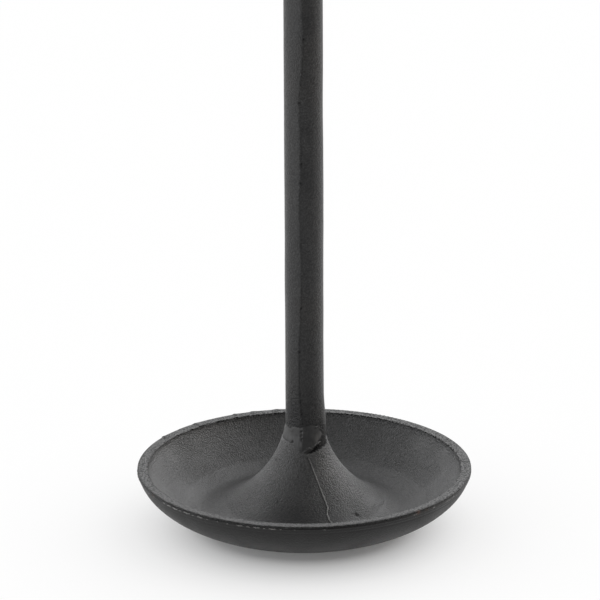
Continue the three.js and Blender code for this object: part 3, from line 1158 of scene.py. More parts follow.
    def build(self, turned: GeometryTree, coat: Material) -> Thing:
        """Turns the dish, gives it the marks of its casting, and paints shade into its open joint and onto its
        outside wall.
        """
        dish = self.turn(turned, "base_dish_casting", self.level, coat)
        places, normals = vertices_of(dish), vertices_of(dish, "normal")
        lift = self._nicks(places) + self._rim_marks(places)
        lifted = places + normals * lift[:, None]
        cut = self._open_joint(lifted)
        set_vertices(dish, cut)
        shares = {
            RUST_ATTRIBUTE: self._rust(cut),
            # painted shade in the recess that the open joint cuts, as deep as the cut
            PAINTED_SHADE_ATTRIBUTE: np.hypot(*(lifted - cut)[:, :2].T) / (0.9 * MM),
            SHADED_DULL_ATTRIBUTE: self._uneven_skin(dish),
        }
        for name, share in shares.items():
            set_values(dish.data, name, np.clip(share, 0, 1))
        return dish

    def _uneven_skin(self, dish: Thing) -> Array:
        """Makes the grain finer low in front and on the walls, and the rim less ground in front.

        Returns:
            How much painted shade darkens and dulls the coat at each place: full on the outside wall, less low
            in front.
        """
        radius, angle, _ = round_places(vertices_of(dish))
        inside = radius < 105 * MM
        fine, dull = (
            smooth_bump(angle_gap(angle, math.radians(degrees)), spread) * smooth_bump(radius - middle, width)
            for degrees, spread, middle, width in (self.fine_front, self.dull_front)
        )
        walls = np.clip((radius - 66 * MM) / (14 * MM), 0, 1)
        grain = 1 - inside * (0.45 * fine + self.smooth_walls.at(angle) * walls)
        for name, factor in ((CAST_ATTRIBUTE, grain), (GROUND_ATTRIBUTE, self.rim_grinding.at(angle))):
            set_values(dish.data, name, values_of(dish.data, name) * factor)
        # painted shade over the outside wall and low in front
        normals = vertices_of(dish, "normal")
        outward = (normals[:, 0] * np.sin(angle) - normals[:, 1] * np.cos(angle)) * (radius > 71 * MM)
        outside = np.clip(np.maximum(outward - 0.3, -0.4 - normals[:, 2]) / 0.3, 0, 1)
        return np.maximum(outside, 0.8 * dull * inside)

    def _rust(self, places: Array) -> Array:
        """The share of rust at each place, for the brown specks on the rim's edge."""
        share = np.zeros(len(places))
        for degrees, drop, size, strength in self.rust_specks:
            angle = math.radians(degrees)
            radius = self.rim_diameter / 2
            centre = on_circle(np.array(radius), np.array(angle), np.array(self.rim_level - drop * MM))
            near = smooth_bump(np.linalg.norm(places - centre, axis=1), size * MM)
            share = np.maximum(share, strength * near)
        return share

    def on_inside(self, radius: float, degrees: float) -> Array:
        """The place on the inside of the dish at a radius and an angle, above the floor."""
        line = self.trumpet() if radius < self.trough_radius else self._wall()
        order = np.argsort(line[:, 0])
        height = float(np.interp(radius, line[order, 0], line[order, 1])) + self.level
        angle = math.radians(degrees)
        return np.array([radius * math.sin(angle), -radius * math.cos(angle), height])

    def _nicks(self, places: Array) -> Array:
        """Small pits in the cast skin."""
        lift = np.zeros(len(places))
        for radius, degrees, width, depth in self.nicks:
            away = np.linalg.norm(places - self.on_inside(radius * MM, degrees), axis=1)
            lift -= depth * MM * smooth_bump(away, width * MM)
        return lift

    def _rim_marks(self, places: Array) -> Array:
        """The rim's uneven edge, the dark line and the joint line below it, its burrs and its hair crack."""
        radius, angle, height = round_places(places)
        drop = self.rim_level - height
        degrees = np.degrees(angle) % 360
        step = self.joint_step.at(angle)
        middle, spread, pitch = self.ragged_edge
        ragged = smooth_bump(angle_gap(angle, math.radians(middle)), math.radians(spread))
        past = degrees - np.array(self.burr_degrees)[:, None]
        burrs = np.where(past < 0, np.exp(past / 1.3), np.clip(1 - past / 0.5, 0, 1)).sum(axis=0)
        # each mark: its height, how far below the rim, its half width, all in mm, and its share round the rim
        marks = (
            (-0.6, 0.5, 0.9, np.clip(Waviness(3, (31, 47, 71, 103)).at(angle) - 0.2, 0, None)),
            (0.16, 0.4, 1.0, Waviness(5, (37, 59, 83, 127)).at(angle)),
            (-0.65, 1.15, 0.34, 0.65 + 0.35 * Waviness(8, (23, 41, 67, 97)).at(angle)),
            (0.28, 1.95, 0.42, 1.0),
            (-0.18, 5.3, 0.5, step),
            (0.3, 0.5, 1.0, ragged * np.sin(degrees * FULL_TURN / pitch)),
            (0.75, 0.8, 1.3, burrs),
        )
        lift = 0.24 * MM * step * np.clip((4.9 * MM - drop) / (0.5 * MM), 0, 1)
        for tall, low, width, share in marks:
            lift += tall * MM * share * smooth_bump(drop - low * MM, width * MM)
        lift *= np.clip((radius - self.rim_diameter / 2 + 4.2 * MM) / (1.2 * MM), 0, 1)
        across = np.abs(angle_gap(angle, math.radians(self.crack_degrees))) * radius
        return lift - 0.45 * MM * smooth_bump(across, 0.5 * MM) * (drop < 3 * MM) * (radius > 100 * MM)

    def _open_joint(self, places: Array) -> Array:
        """Cuts the dark gap where the weld didn't run into the casting, at the right of the front."""
        radius, angle, height = round_places(places)
        joint = WeldJoint()
        above = height - self.rim_level
        into = np.clip((above - joint.casting_edge.at(angle) * MM) / (0.5 * MM), 0, 1)
        out = np.clip((joint.lip.at(angle) * MM + 1.6 * MM - above) / (0.8 * MM), 0, 1)
        near = (radius < 24 * MM) & (radius > self.stem_radius + self.stem_room + 0.01 * MM)
        cut = self.gap_depth * into * out * np.clip(joint.gap.at(angle) * 1.6, 0, 1) * near
        least = self.stem_radius + self.stem_room + 0.1 * MM
        kept = np.where(near, np.maximum(radius - cut, np.minimum(least, radius)), radius)
        moved = places.copy()
        moved[:, :2] *= (kept / np.maximum(radius, 1e-6))[:, None]
        return moved


@dataclass
class CoreVein:
    """The thin raised vein down the front of the trumpet, where the mould's core had cracked.

    Attributes:
        stops: (radius in mm, degrees, half width in mm) along the vein, from its top to the dish's wall.
        shade: how dark the painted shadow lies on the casting in the sharp corner at the vein's left.
    """

    stops: Table = (
        (18.6, 9.6, 0.16), (20.8, 13.9, 0.28), (27.2, 19.7, 0.36), (35.0, 22.1, 0.46), (40.9, 22.6, 0.52),
        (44.0, 20.4, 0.46), (48.3, 20.1, 0.54), (52.5, 21.3, 0.50), (56.0, 21.5, 0.40), (60.0, 22.5, 0.12),
    )
    shade: float = 0.5

    def build(self, threads: GeometryTree, dish: BaseDish, casting: Thing, coat: Material) -> Thing:
        """Lays the vein on the finished casting and paints its shadow beside it."""
        knots = np.array([dish.on_inside(radius * MM, degrees) for radius, degrees, _ in self.stops])
        path = smooth_path(knots, 10)
        share = np.linspace(0, 1, len(path))
        half = np.interp(share, np.linspace(0, 1, len(knots)), [stop[2] * MM for stop in self.stops])
        half *= 1 + 0.25 * np.sin(share * 71) * np.sin(share * 29 + 1)
        laid = []
        for place in path:
            wobble = Vector((0.15 * MM * math.sin(place[2] * 2600), 0, 0))
            _, spot, _, _ = casting.closest_point_on_mesh(Vector(place) + wobble)
            laid.append(spot)
        # painted shadow on the casting along the vein's left side
        corner = np.array(laid)[::3] - (0.9 * MM, 0, 0)
        near = smooth_bump(distance_to_path(vertices_of(casting), corner), 0.6 * MM)
        gap = values_of(casting.data, PAINTED_SHADE_ATTRIBUTE)
        set_values(casting.data, PAINTED_SHADE_ATTRIBUTE, np.maximum(gap, self.shade * near))
        chains = chains_mesh("vein_path", [(np.array(laid), half)])
        return threads.make("core_vein", chains, {"Sides": 8, "Material": coat})


@dataclass
class RimFlash:
    """The torn thread of iron that the mould's joint left along the rim, chipped away here and there.

    Attributes:
        dashes: (degrees, degrees, mm below the rim, half width in mm) of the pieces left in front.
        drop: how far below the rim the other pieces lie.
        bare: the degrees between which no other piece lies.
        count: how many other pieces there are.
        seed: picks the other pieces.
    """

    dashes: Table = (
        (-56.0, -54.6, 1.9, 0.26), (-53.8, -51.0, 1.9, 0.34), (-50.4, -47.6, 2.0, 0.40),
        (-47.0, -45.8, 1.9, 0.30), (-44.9, -41.6, 1.8, 0.42), (-41.0, -39.9, 1.9, 0.30),
        (-38.6, -36.2, 1.9, 0.40), (-34.8, -33.9, 2.0, 0.26), (-30.6, -29.9, 1.9, 0.24),
        (-26.9, -25.9, 2.0, 0.28), (-23.2, -20.6, 1.9, 0.36), (-19.8, -18.2, 1.9, 0.34),
        (-17.3, -14.7, 1.8, 0.42), (-13.9, -13.0, 2.0, 0.28), (-11.9, -9.4, 1.9, 0.36),
        (-8.3, -7.4, 1.9, 0.26), (-3.6, -2.9, 2.0, 0.20), (6.0, 7.2, 2.1, 0.22),
        (27.5, 28.4, 1.9, 0.22), (33.0, 34.6, 2.0, 0.24),
    )
    drop: float = 1.95 * MM
    bare: tuple[float, float] = (-58, 38)
    count: int = 70
    seed: int = 12

    def build(self, threads: GeometryTree, dish: BaseDish, coat: Material) -> Thing:
        """Lays every piece along the joint."""
        draw = np.random.default_rng(self.seed)
        pieces = list(self.dashes)
        for _ in range(self.count):
            first = draw.uniform(self.bare[1], self.bare[0] + 360)
            length, half = draw.uniform(0.6, 3.0), draw.uniform(0.14, 0.34)
            pieces.append((first, first + length, self.drop / MM + draw.uniform(-0.2, 0.2), half))
        chains = []
        for first, last, drop, half in pieces:
            steps = max(5, math.ceil((last - first) / 0.25))
            share = np.linspace(0, 1, steps)
            angle = np.radians(first + (last - first) * share)
            taper = np.sqrt(np.clip(np.sin(share * math.pi), 0.04, 1)) * (1 + 0.3 * np.sin(share * 17 + first))
            level = dish.rim_level - (drop + 0.12 * np.sin(share * 9 + last)) * MM
            radius = np.full(steps, dish.rim_diameter / 2 - 0.1 * MM)
            chains.append((on_circle(radius, angle, level), half * MM * taper))
        return threads.make("rim_flash", chains_mesh("flash_paths", chains), {"Sides": 6, "Material": coat})


# ---------------------------------------------------------------- welds


@dataclass(frozen=True)
class WeldJoint:
    """Where the base weld meets the trumpet: heights above the rim, in mm, and how far the joint is open."""

    lip: RoundTable = RoundTable((
        (-90, 18.5), (-45, 17.5), (-17, 13.6), (0, 14.3), (12, 15.6), (24, 16.9), (38, 18.2), (52, 20.0),
        (62, 22.2), (75, 23.2), (88, 23.0), (105, 20.0), (140, 18.0), (200, 17.0), (250, 18.0),
    ), 4)
    top: RoundTable = RoundTable((
        (-90, 33.0), (-35, 36.0), (0, 36.5), (20, 35.0), (42, 32.4), (51, 31.6), (62, 29.0), (75, 27.4),
        (90, 27.0), (110, 27.5), (180, 33.0),
    ), 4)
    casting_edge: RoundTable = RoundTable((
        (0, 14.2), (17, 14.8), (38, 16.2), (61, 16.9), (72, 17.6), (80, 18.6), (90, 19.6), (105, 20.4),
        (200, 18.0), (300, 16.0),
    ), 4)
    gap: RoundTable = RoundTable(((-4, 0), (10, 0.25), (20, 0.6), (34, 1), (86, 1), (104, 0), (200, 0)))


@dataclass
class DressedWeld:
    """A weld round the stem, ground back by hand until it carries on the flare of its casting.

    Attributes:
        name: the piece's name.
        flare: the casting's line (radius, height above or below the joint level).
        level: how high the line's zero stands above the floor.
        direction: 1 where the weld climbs from its casting, -1 where it hangs below it.
        low: where the weld begins on the casting round the stem, in mm from the level.
        high: where it ends on the stem, in mm from the level.
        gap: how far it stands open from its casting, from 0 to 1.
        form: the shape of the stem that the weld lies on, or None for a plain round stem.
        dents: (degrees, mm from the level, width, height, depth in mm) of each grinding dent.
        beads: (degrees and mm from the level at both ends, width, height in mm) of each raised streak.
        seed: picks the hand-made waves.
        tuck: how far the open part rolls in under its lip, and over what height.
        proud: how far the weld stands out from the casting's line.
        sink: how far its edges go into the casting and the stem.
        top_wander: how far its upper edge wanders up and down, in mm.
        fillet_height: how proud the hollow corner against the stem is filled, and over what width.
        ripple_size: the size of the hand-made waves on its face, and their height.
    """

    name: str
    flare: Array
    level: float
    direction: int
    low: RoundTable
    high: RoundTable
    gap: RoundTable
    form: StemForm | None
    dents: Table
    beads: Table
    seed: int
    stem_radius: float = 12.7 * MM
    tuck: float = 1.5 * MM
    tuck_height: float = 2.4 * MM
    proud: float = 0.06 * MM
    sink: float = 0.5 * MM
    top_wander: float = 1.2
    fillet_height: float = 0.12 * MM
    fillet_width: float = 0.8 * MM
    ripple_size: float = 9 * MM
    ripple_height: float = 0.08 * MM
    turns: int = 300
    steps: int = 96

    def build(self, coat: Material) -> Thing:
        """Lays the weld's sections round the stem."""
        angles = np.arange(self.turns) * FULL_TURN / self.turns * self.direction
        mesh = ring_mesh(self.name, np.stack([self._section(float(angle)) for angle in angles]))
        mesh.materials.append(coat)
        set_values(mesh, CAST_ATTRIBUTE, np.ones(len(mesh.vertices)))
        weld = new_object(self.name, mesh)
        self._mark(weld)
        return weld

    def _section(self, angle: float) -> Array:
        """The closed section at one angle: up the outside from the lip, and down beside the stem."""
        turn = np.array([angle])
        low, high, gap = (float(table.at(turn)[0]) for table in (self.low, self.high, self.gap))
        low, high = low * MM, (high + self.top_wander * float(Waviness(self.seed).at(turn)[0])) * MM
        share = np.linspace(0, 1, self.steps)
        heights = low + (high - low) * share
        levels = self.level + self.direction * heights
        body = np.maximum(radius_at(self.flare, heights), self.stem_radius)
        if self.form:
            around = self.stem_radius + self.form.swell(np.full_like(levels, angle), levels)
            around += self.form.skin_thickness
            body = np.maximum(body, around) + self.fillet_height * smooth_bump(body - around, self.fillet_width)
            joint = self.form.joint(levels, self.stem_radius)
            body += self.form.ridge(angle_gap(angle, joint)) * np.minimum(1, share * 4)
        tuck = self.tuck * gap * smooth_bump(heights - low, self.tuck_height)
        closed = 1 - min(1.0, gap * 2)
        low_feather = self.sink * closed * smooth_bump(share, 0.22)
        high_feather = self.sink * smooth_bump(1 - share, 0.10 + 0.22 * closed)
        face = on_circle(body, np.full_like(body, angle), heights)
        swell = Ripple(self.seed, self.ripple_size, self.ripple_height).at(face)
        outside = body + self.proud - tuck + swell - low_feather - high_feather
        inner_radius = self.stem_radius - self.sink
        under = np.array([
            [outside[0] - 0.45 * MM, low - 0.25 * MM * gap],
            [max(outside[0] - 2.4 * MM, inner_radius), low + 1.0 * MM * gap],
        ])
        back = np.linspace(low + 1.8 * MM, high - 0.1 * MM, 6)
        inner = np.stack([np.full(6, inner_radius), back], axis=1)
        line = np.vstack([under[::-1], np.stack([outside, heights], axis=1), inner[::-1]])
        return on_circle(line[:, 0], np.full(len(line), angle), self.level + self.direction * line[:, 1])

    def _mark(self, weld: Thing) -> None:
        """Grinding dents, pinholes and raised streaks on the weld's face, and painted shade under its open lip.
        """
        places, normals = vertices_of(weld), vertices_of(weld, "normal")
        radius, angle, height = round_places(places)
        above = (height - self.level) * self.direction
        lift = np.zeros(len(places))
        for degrees, rise, width, tall, depth in self.dents:
            across = angle_gap(angle, math.radians(degrees)) * radius
            lift -= depth * MM * smooth_bump(np.hypot(across / width, (above - rise * MM) / tall), 1 * MM)
        for first, low, last, high, width, depth in self.beads:
            ends = on_circle(np.full(2, 13.5 * MM), np.radians([first, last]), np.array([low, high]) * MM)
            flat = on_circle(np.full(len(places), 13.5 * MM), angle, above)
            lift += depth * MM * smooth_bump(distance_to_path(flat, ends), width * MM)
        outside = radius > self.stem_radius - self.sink / 2
        moved = places + normals * (lift * outside)[:, None]
        if self.form:
            moved[:, 0] += self.form.shift(height)
        set_vertices(weld, moved)
        # painted shade in the crevice under the lip, where the joint stands open
        near_lip = smooth_bump(above - self.low.at(angle) * MM, 1.2 * MM)
        set_values(weld.data, PAINTED_SHADE_ATTRIBUTE, near_lip * np.clip(self.gap.at(angle) * 1.3 - 0.2, 0, 1))


BASE_WELD_DENTS = (
    (-8, 29.5, 0.8, 0.8, 0.5), (2, 29.4, 0.7, 0.5, 0.3), (-9, 26.8, 0.7, 0.7, 0.45), (-6, 24.3, 0.8, 0.9, 0.4),
    (-32, 21.3, 0.7, 1.5, 0.6), (-39, 19.4, 0.8, 0.9, 0.5), (-46, 19.6, 0.7, 0.8, 0.35),
    (118, 26.0, 1.4, 1.0, 0.35), (205, 24.0, 1.0, 1.6, 0.4), (262, 22.0, 1.2, 0.9, 0.35),
)
BASE_WELD_BEADS = ((34, 31.6, 54, 32.3, 0.5, 0.35), (40, 18.6, 22, 17.9, 0.6, -0.8))
PAN_WELD_DENTS = ((20, 15.0, 1.0, 0.8, 0.35), (140, 18.0, 1.2, 1.0, 0.3), (255, 14.0, 0.9, 1.3, 0.35))


# ---------------------------------------------------------------- stem


@dataclass
class Stem(TurnedPiece):
    """The stem: a tube with the skin of a two-part mould and its joint line down the front."""

    radius: float = 12.7 * MM
    wall: float = 2 * MM
    end_bevel: float = 0.8 * MM
    segments: int = 140
    ring_spacing: float = 1.2 * MM
    seam_depth: float = 0.26 * MM
    seam_width: float = 0.5 * MM
    seam_dark: float = 0.45
    pit_depth: float = 0.5 * MM
    pit_width: float = 0.8 * MM
    pit_dark: float = 0.9
    pit_levels: tuple[float, ...] = (
        82.9, 91.5, 96.4, 127, 158, 203, 246, 259, 301, 344, 402, 455, 511, 580, 633, 702,
    )
    form: StemForm = StemForm()
    skin: CastSkin = CastSkin(
        swell_size=46 * MM,
        swell_height=0.9 * MM,
        grain_size=2.2 * MM,
        grain_height=0.13 * MM,
        grain_stretch=(1.0, 1.0, 0.8),
        seed=19.0,
    )
    foot: float = field(default_factory=lambda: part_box("stem_tube")[0].z)
    top: float = field(default_factory=lambda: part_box("stem_tube")[1].z)

    def outline(self) -> Outline:
        """The tube's section, from the foot of the bore round the outside to the top of the bore."""
        bore, face = self.radius - self.wall, self.radius - self.end_bevel
        high = self.top - self.foot
        made = Outline()
        made.add([(bore, 0), (face, 0)], 1 * MM, Skin.TURNED)
        made.line((self.radius, self.end_bevel), 1 * MM)
        made.line((self.radius, high - self.end_bevel), self.ring_spacing, Skin.SAND_CAST)
        made.line((face, high), 1 * MM)
        made.line((bore, high), 1 * MM)
        made.line((bore, 0), 60 * MM)
        made.rows.append((bore, 0.0, *Skin.TURNED.value))
        return made

    def build(self, turned: GeometryTree, coat: Material) -> Thing:
        """Turns the tube, shapes the mould's joint line on it and paints shade into its seam groove and pits.
        """
        stem = self.turn(turned, "stem_tube_casting", self.foot, coat)
        places = vertices_of(stem)
        radius, angle, height = round_places(places)
        outside = np.clip((radius - self.radius + 1.2 * MM) / (0.6 * MM), 0, 1)
        shift = self.form.swell(angle, height) + self.form.skin_thickness
        dark = np.zeros(len(places))
        for side in (0.0, math.pi):
            gap = angle_gap(angle - side, self.form.joint(height, self.radius))
            broken = 0.55 + 0.45 * np.sin(height / (17 * MM) + 2 * np.sin(height / (47 * MM)))
            seam = smooth_bump(gap * self.radius, self.seam_width) * broken
            shift += self.form.ridge(gap) - self.seam_depth * seam
            dark = np.maximum(dark, self.seam_dark * seam)
            for level in self.pit_levels:
                pit = smooth_bump(np.hypot(gap * self.radius, height - level * MM), self.pit_width)
                shift -= self.pit_depth * pit
                dark = np.maximum(dark, self.pit_dark * pit)
        away = 1 + shift * outside / np.maximum(radius, 1 * MM)
        places[:, :2] *= away[:, None]
        places[:, 0] += self.form.shift(height) * outside
        set_vertices(stem, places)
        # painted shade along the seam groove and in the pits
        set_values(stem.data, PAINTED_SHADE_ATTRIBUTE, dark * outside)
        return stem


# ---------------------------------------------------------------- candle pan and pricket


@dataclass
class CandlePan(SpigotCasting):
    """The cast pan at the top, with its neck, its spigot and the hole for the pricket.

    Sizes in metres, heights from the pan's underside.
    """

    diameter: float = 112 * MM
    rim_width: float = 5 * MM
    hollow_depth: float = 15 * MM
    floor_thickness: float = 5.5 * MM
    candle_floor: float = 78 * MM
    underside_radius: float = 34 * MM
    rim_lean: float = 72
    wall_pull: float = 12 * MM
    belly_pull: float = 10 * MM
    inside_lean: float = 74
    inside_wall_pull: float = 9 * MM
    inside_floor_pull: float = 4 * MM
    neck_drop: float = 27 * MM
    neck_upright_pull: float = 17 * MM
    neck_level_pull: float = 13 * MM
    low_edge: float = 1.1 * MM
    spot_radius: float = 8.3 * MM
    spot_depth: float = 0.8 * MM
    spot_slope: float = 0.4 * MM
    hole_radius: float = 3.3 * MM
    hole_depth: float = 14 * MM
    segments: int = 300
    skin: CastSkin = CastSkin(swell_height=0.4 * MM, seed=8.0)
    low: float = field(default_factory=lambda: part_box("candle_pan")[0].z)

    @property
    def underside(self) -> float:
        """How high the pan's underside stands above the floor."""
        return self.low + self.spigot_length + self.shoulder

    def neck(self) -> Array:
        """The neck's line, from the pan's underside down to the line of the stem, heights below zero."""
        return bezier(
            (self.underside_radius, 0),
            (-self.neck_level_pull, 0),
            (0, self.neck_upright_pull),
            (self.stem_radius, -self.neck_drop),
        )

    def outline(self) -> Outline:
        """The whole outline, from the spigot's end round to the bottom of the pricket's hole."""
        floor, shoulder = self.floor_thickness, -self.shoulder
        rim = floor + self.hollow_depth
        outer = np.array([self.diameter / 2, rim])
        inner = outer - (self.rim_width, 0)
        slope = leaning(self.rim_lean, -self.wall_pull)
        outside = bezier((self.underside_radius, 0), (self.belly_pull, 0), slope, outer)
        slope = leaning(self.inside_lean, -self.inside_wall_pull)
        inside = bezier(inner, slope, (self.inside_floor_pull, 0), (self.candle_floor / 2, floor))
        outside, inside = (between(line, 0, rim - self.low_edge) for line in (outside, inside))
        neck = between(self.neck()[::-1], shoulder, 1)
        tip = shoulder - self.spigot_length
        seat = floor - self.spot_depth
        made = Outline()
        made.add([(0, tip), (self.spigot_radius - self.spigot_lead_in, tip)], 5 * MM, Skin.TURNED)
        made.line((self.spigot_radius, tip + self.spigot_lead_in), 2 * MM)
        made.line((self.spigot_radius, shoulder), 8 * MM)
        made.line(neck[0], 2 * MM)
        made.add(neck, 0.8 * MM, Skin.SAND_CAST)
        made.add(outside, 0.9 * MM, Skin.SAND_CAST)
        made.rim((outside, inside), (outer, inner), self.edge_radius, 0.5 * MM, Skin.WORN)
        made.add(inside, 0.8 * MM, Skin.SAND_CAST)
        made.line((self.spot_radius + self.spot_slope, floor), 0.9 * MM, Skin.WORN)
        made.line((self.spot_radius, seat), 0.5 * MM)
        made.line((self.hole_radius, seat), 2 * MM)
        made.line((self.hole_radius, seat - self.hole_depth), 5 * MM)
        return made.line((0, seat - self.hole_depth), 2 * MM)

    def build(self, turned: GeometryTree, coat: Material) -> Thing:
        """Turns the pan."""
        return self.turn(turned, "candle_pan_casting", self.underside, coat)


@dataclass
class Pricket(TurnedPiece):
    """The spike that holds a pillar candle, with its collar and the shank in the pan."""

    spike_length: float = 37 * MM
    spike_radius: float = 3.25 * MM
    tip_radius: float = 0.5 * MM
    collar_radius: float = 8 * MM
    collar_thickness: float = 2.5 * MM
    collar_round: float = 0.6 * MM
    shank_radius: float = 3 * MM
    shank_length: float = 12 * MM
    shank_bevel: float = 1 * MM
    foot_fillet: float = 1.2 * MM
    segments: int = 96
    skin: CastSkin = CastSkin(
        swell_size=12 * MM, swell_height=0.10 * MM, grain_size=2 * MM, grain_height=0.05 * MM, seed=3.0
    )
    low: float = field(default_factory=lambda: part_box("pricket")[0].z)

    def outline(self) -> Outline:
        """The outline from the end of the shank up to the tip, heights from the collar's seat."""
        collar, shank, bevel = self.collar_thickness, self.shank_radius, self.shank_bevel
        top = collar + self.spike_length
        foot = np.array([self.spike_radius + self.foot_fillet, collar])
        spike = np.array([self.spike_radius, collar + self.foot_fillet])
        pull = self.foot_fillet * 0.6
        tip = (self.tip_radius, top - self.tip_radius)
        edge = np.array([self.collar_radius, collar])
        made = Outline()
        made.add([(0, -self.shank_length), (shank - bevel, -self.shank_length)], 1 * MM, Skin.TURNED)
        made.line((shank, bevel - self.shank_length), 1 * MM)
        made.line((shank, 0), 4 * MM)
        made.line((self.collar_radius, 0), 2 * MM)
        made.corner(edge - (0, 2 * MM), edge, edge - (2 * MM, 0), self.collar_round, Skin.SAND_CAST)
        made.add([edge - (self.collar_round, 0), foot], 0.6 * MM, Skin.SAND_CAST)
        made.add(bezier(foot, (-pull, 0), (0, -pull), spike), 0.3 * MM, Skin.SAND_CAST)
        made.line(tip, 0.7 * MM, Skin.SAND_CAST)
        return made.add([tip, (self.tip_radius * 0.6, top - 0.1 * MM), (0, top)], 0.2 * MM, Skin.SAND_CAST)

    def build(self, turned: GeometryTree, coat: Material) -> Thing:
        """Turns the pricket."""
        return self.turn(turned, "pricket_spike", self.low + self.shank_length, coat)


# ---------------------------------------------------------------- foot pads


@dataclass
class FootPads(TurnedPiece):
    """The four rubber pads glued under the foot ring."""

    nodes: tuple[str, ...] = ("foot_pad_1", "foot_pad_2", "foot_pad_3", "foot_pad_4")
    radius: float = 8 * MM
    thickness: float = 2 * MM
    edge_round: float = 0.4 * MM
    ring_radius: float = 53 * MM
    first_degrees: float = 31
    segments: int = 64
    skin: CastSkin = CastSkin(
        swell_size=6 * MM, swell_height=0.08 * MM, grain_size=1.5 * MM, grain_height=0.02 * MM
    )

    def outline(self) -> Outline:
        """One pad's outline, from the middle of its underside round to the middle of its top."""
        low = np.array([self.radius, 0.0])
        high = np.array([self.radius, self.thickness])
        edge = self.edge_round
        made = Outline()
        made.add([(0, 0), low - (edge, 0)], 1.5 * MM, Skin.TURNED)
        made.corner(low - (2 * MM, 0), low, high, edge, Skin.SAND_CAST)
        made.add([low + (0, edge), high - (0, edge)], 0.4 * MM, Skin.SAND_CAST)
        made.corner(low, high, high - (2 * MM, 0), edge, Skin.SAND_CAST)
        return made.add([high - (edge, 0), (0, self.thickness)], 1.5 * MM, Skin.TURNED)

    def build(self, turned: GeometryTree, ring: GeometryTree, rubber: Material) -> Thing:
        """Makes one pad and sets its copies round the ring."""
        pad = self.turn(turned, "one_pad", 0.0, rubber)
        mesh = pad.data
        bpy.data.objects.remove(pad)
        placed = {
            "Count": len(self.nodes),
            "Ring Radius": self.ring_radius,
            "First Angle": math.radians(self.first_degrees - 90),
            "Material": rubber,
        }
        return ring.make("foot_pads_rubber", mesh, placed)


# ---------------------------------------------------------------- studio


@dataclass
class PhotoCamera:
    """The camera at the photograph's place. Its pixels are those of a square picture of 600 by 600."""

    picture_side: float = 600
    dish_centre_x: float = 304.5
    dish_centre_y: float = 465.4
    metres_per_pixel: float = 0.0006837
    elevation: float = 20.85
    distance: float = 2.6
    roll: float = 0.24
    sensor_width: float = 36.0

    def build(self, dish: BaseDish) -> Thing:
        """Makes the camera so that the dish's centre falls on its pixel at its scale.

        Args:
            dish: the dish, whose centre at rim height is the point aimed by.

        Returns:
            The camera, already set as the scene's.
        """
        focal = self.distance / self.metres_per_pixel
        right = self.dish_centre_x - self.picture_side / 2
        up = self.picture_side / 2 - self.dish_centre_y
        roll = math.radians(self.roll)
        level_right = right * math.cos(roll) + up * math.sin(roll)
        level_up = up * math.cos(roll) - right * math.sin(roll)
        down = math.radians(self.elevation)
        pitch = -down - math.atan(level_up / focal)
        yaw = -math.atan(level_right / focal)
        axis = Vector((math.sin(yaw) * math.cos(pitch), math.cos(yaw) * math.cos(pitch), math.sin(pitch)))
        data = bpy.data.cameras.new("photo_camera")
        data.sensor_width = self.sensor_width
        data.lens = focal * self.sensor_width / self.picture_side
        data.clip_start, data.clip_end = 0.05, 300.0
        camera = bpy.data.objects.new("photo_camera", data)
        bpy.context.scene.collection.objects.link(camera)
        camera.location = Vector((0, -math.cos(down), math.sin(down))) * self.distance
        camera.location.z += dish.rim_level
        camera.rotation_mode = "QUATERNION"
        camera.rotation_quaternion = axis.to_track_quat("-Z", "Y") @ Quaternion((0, 0, 1), -roll)
        bpy.context.scene.camera = camera
        return camera


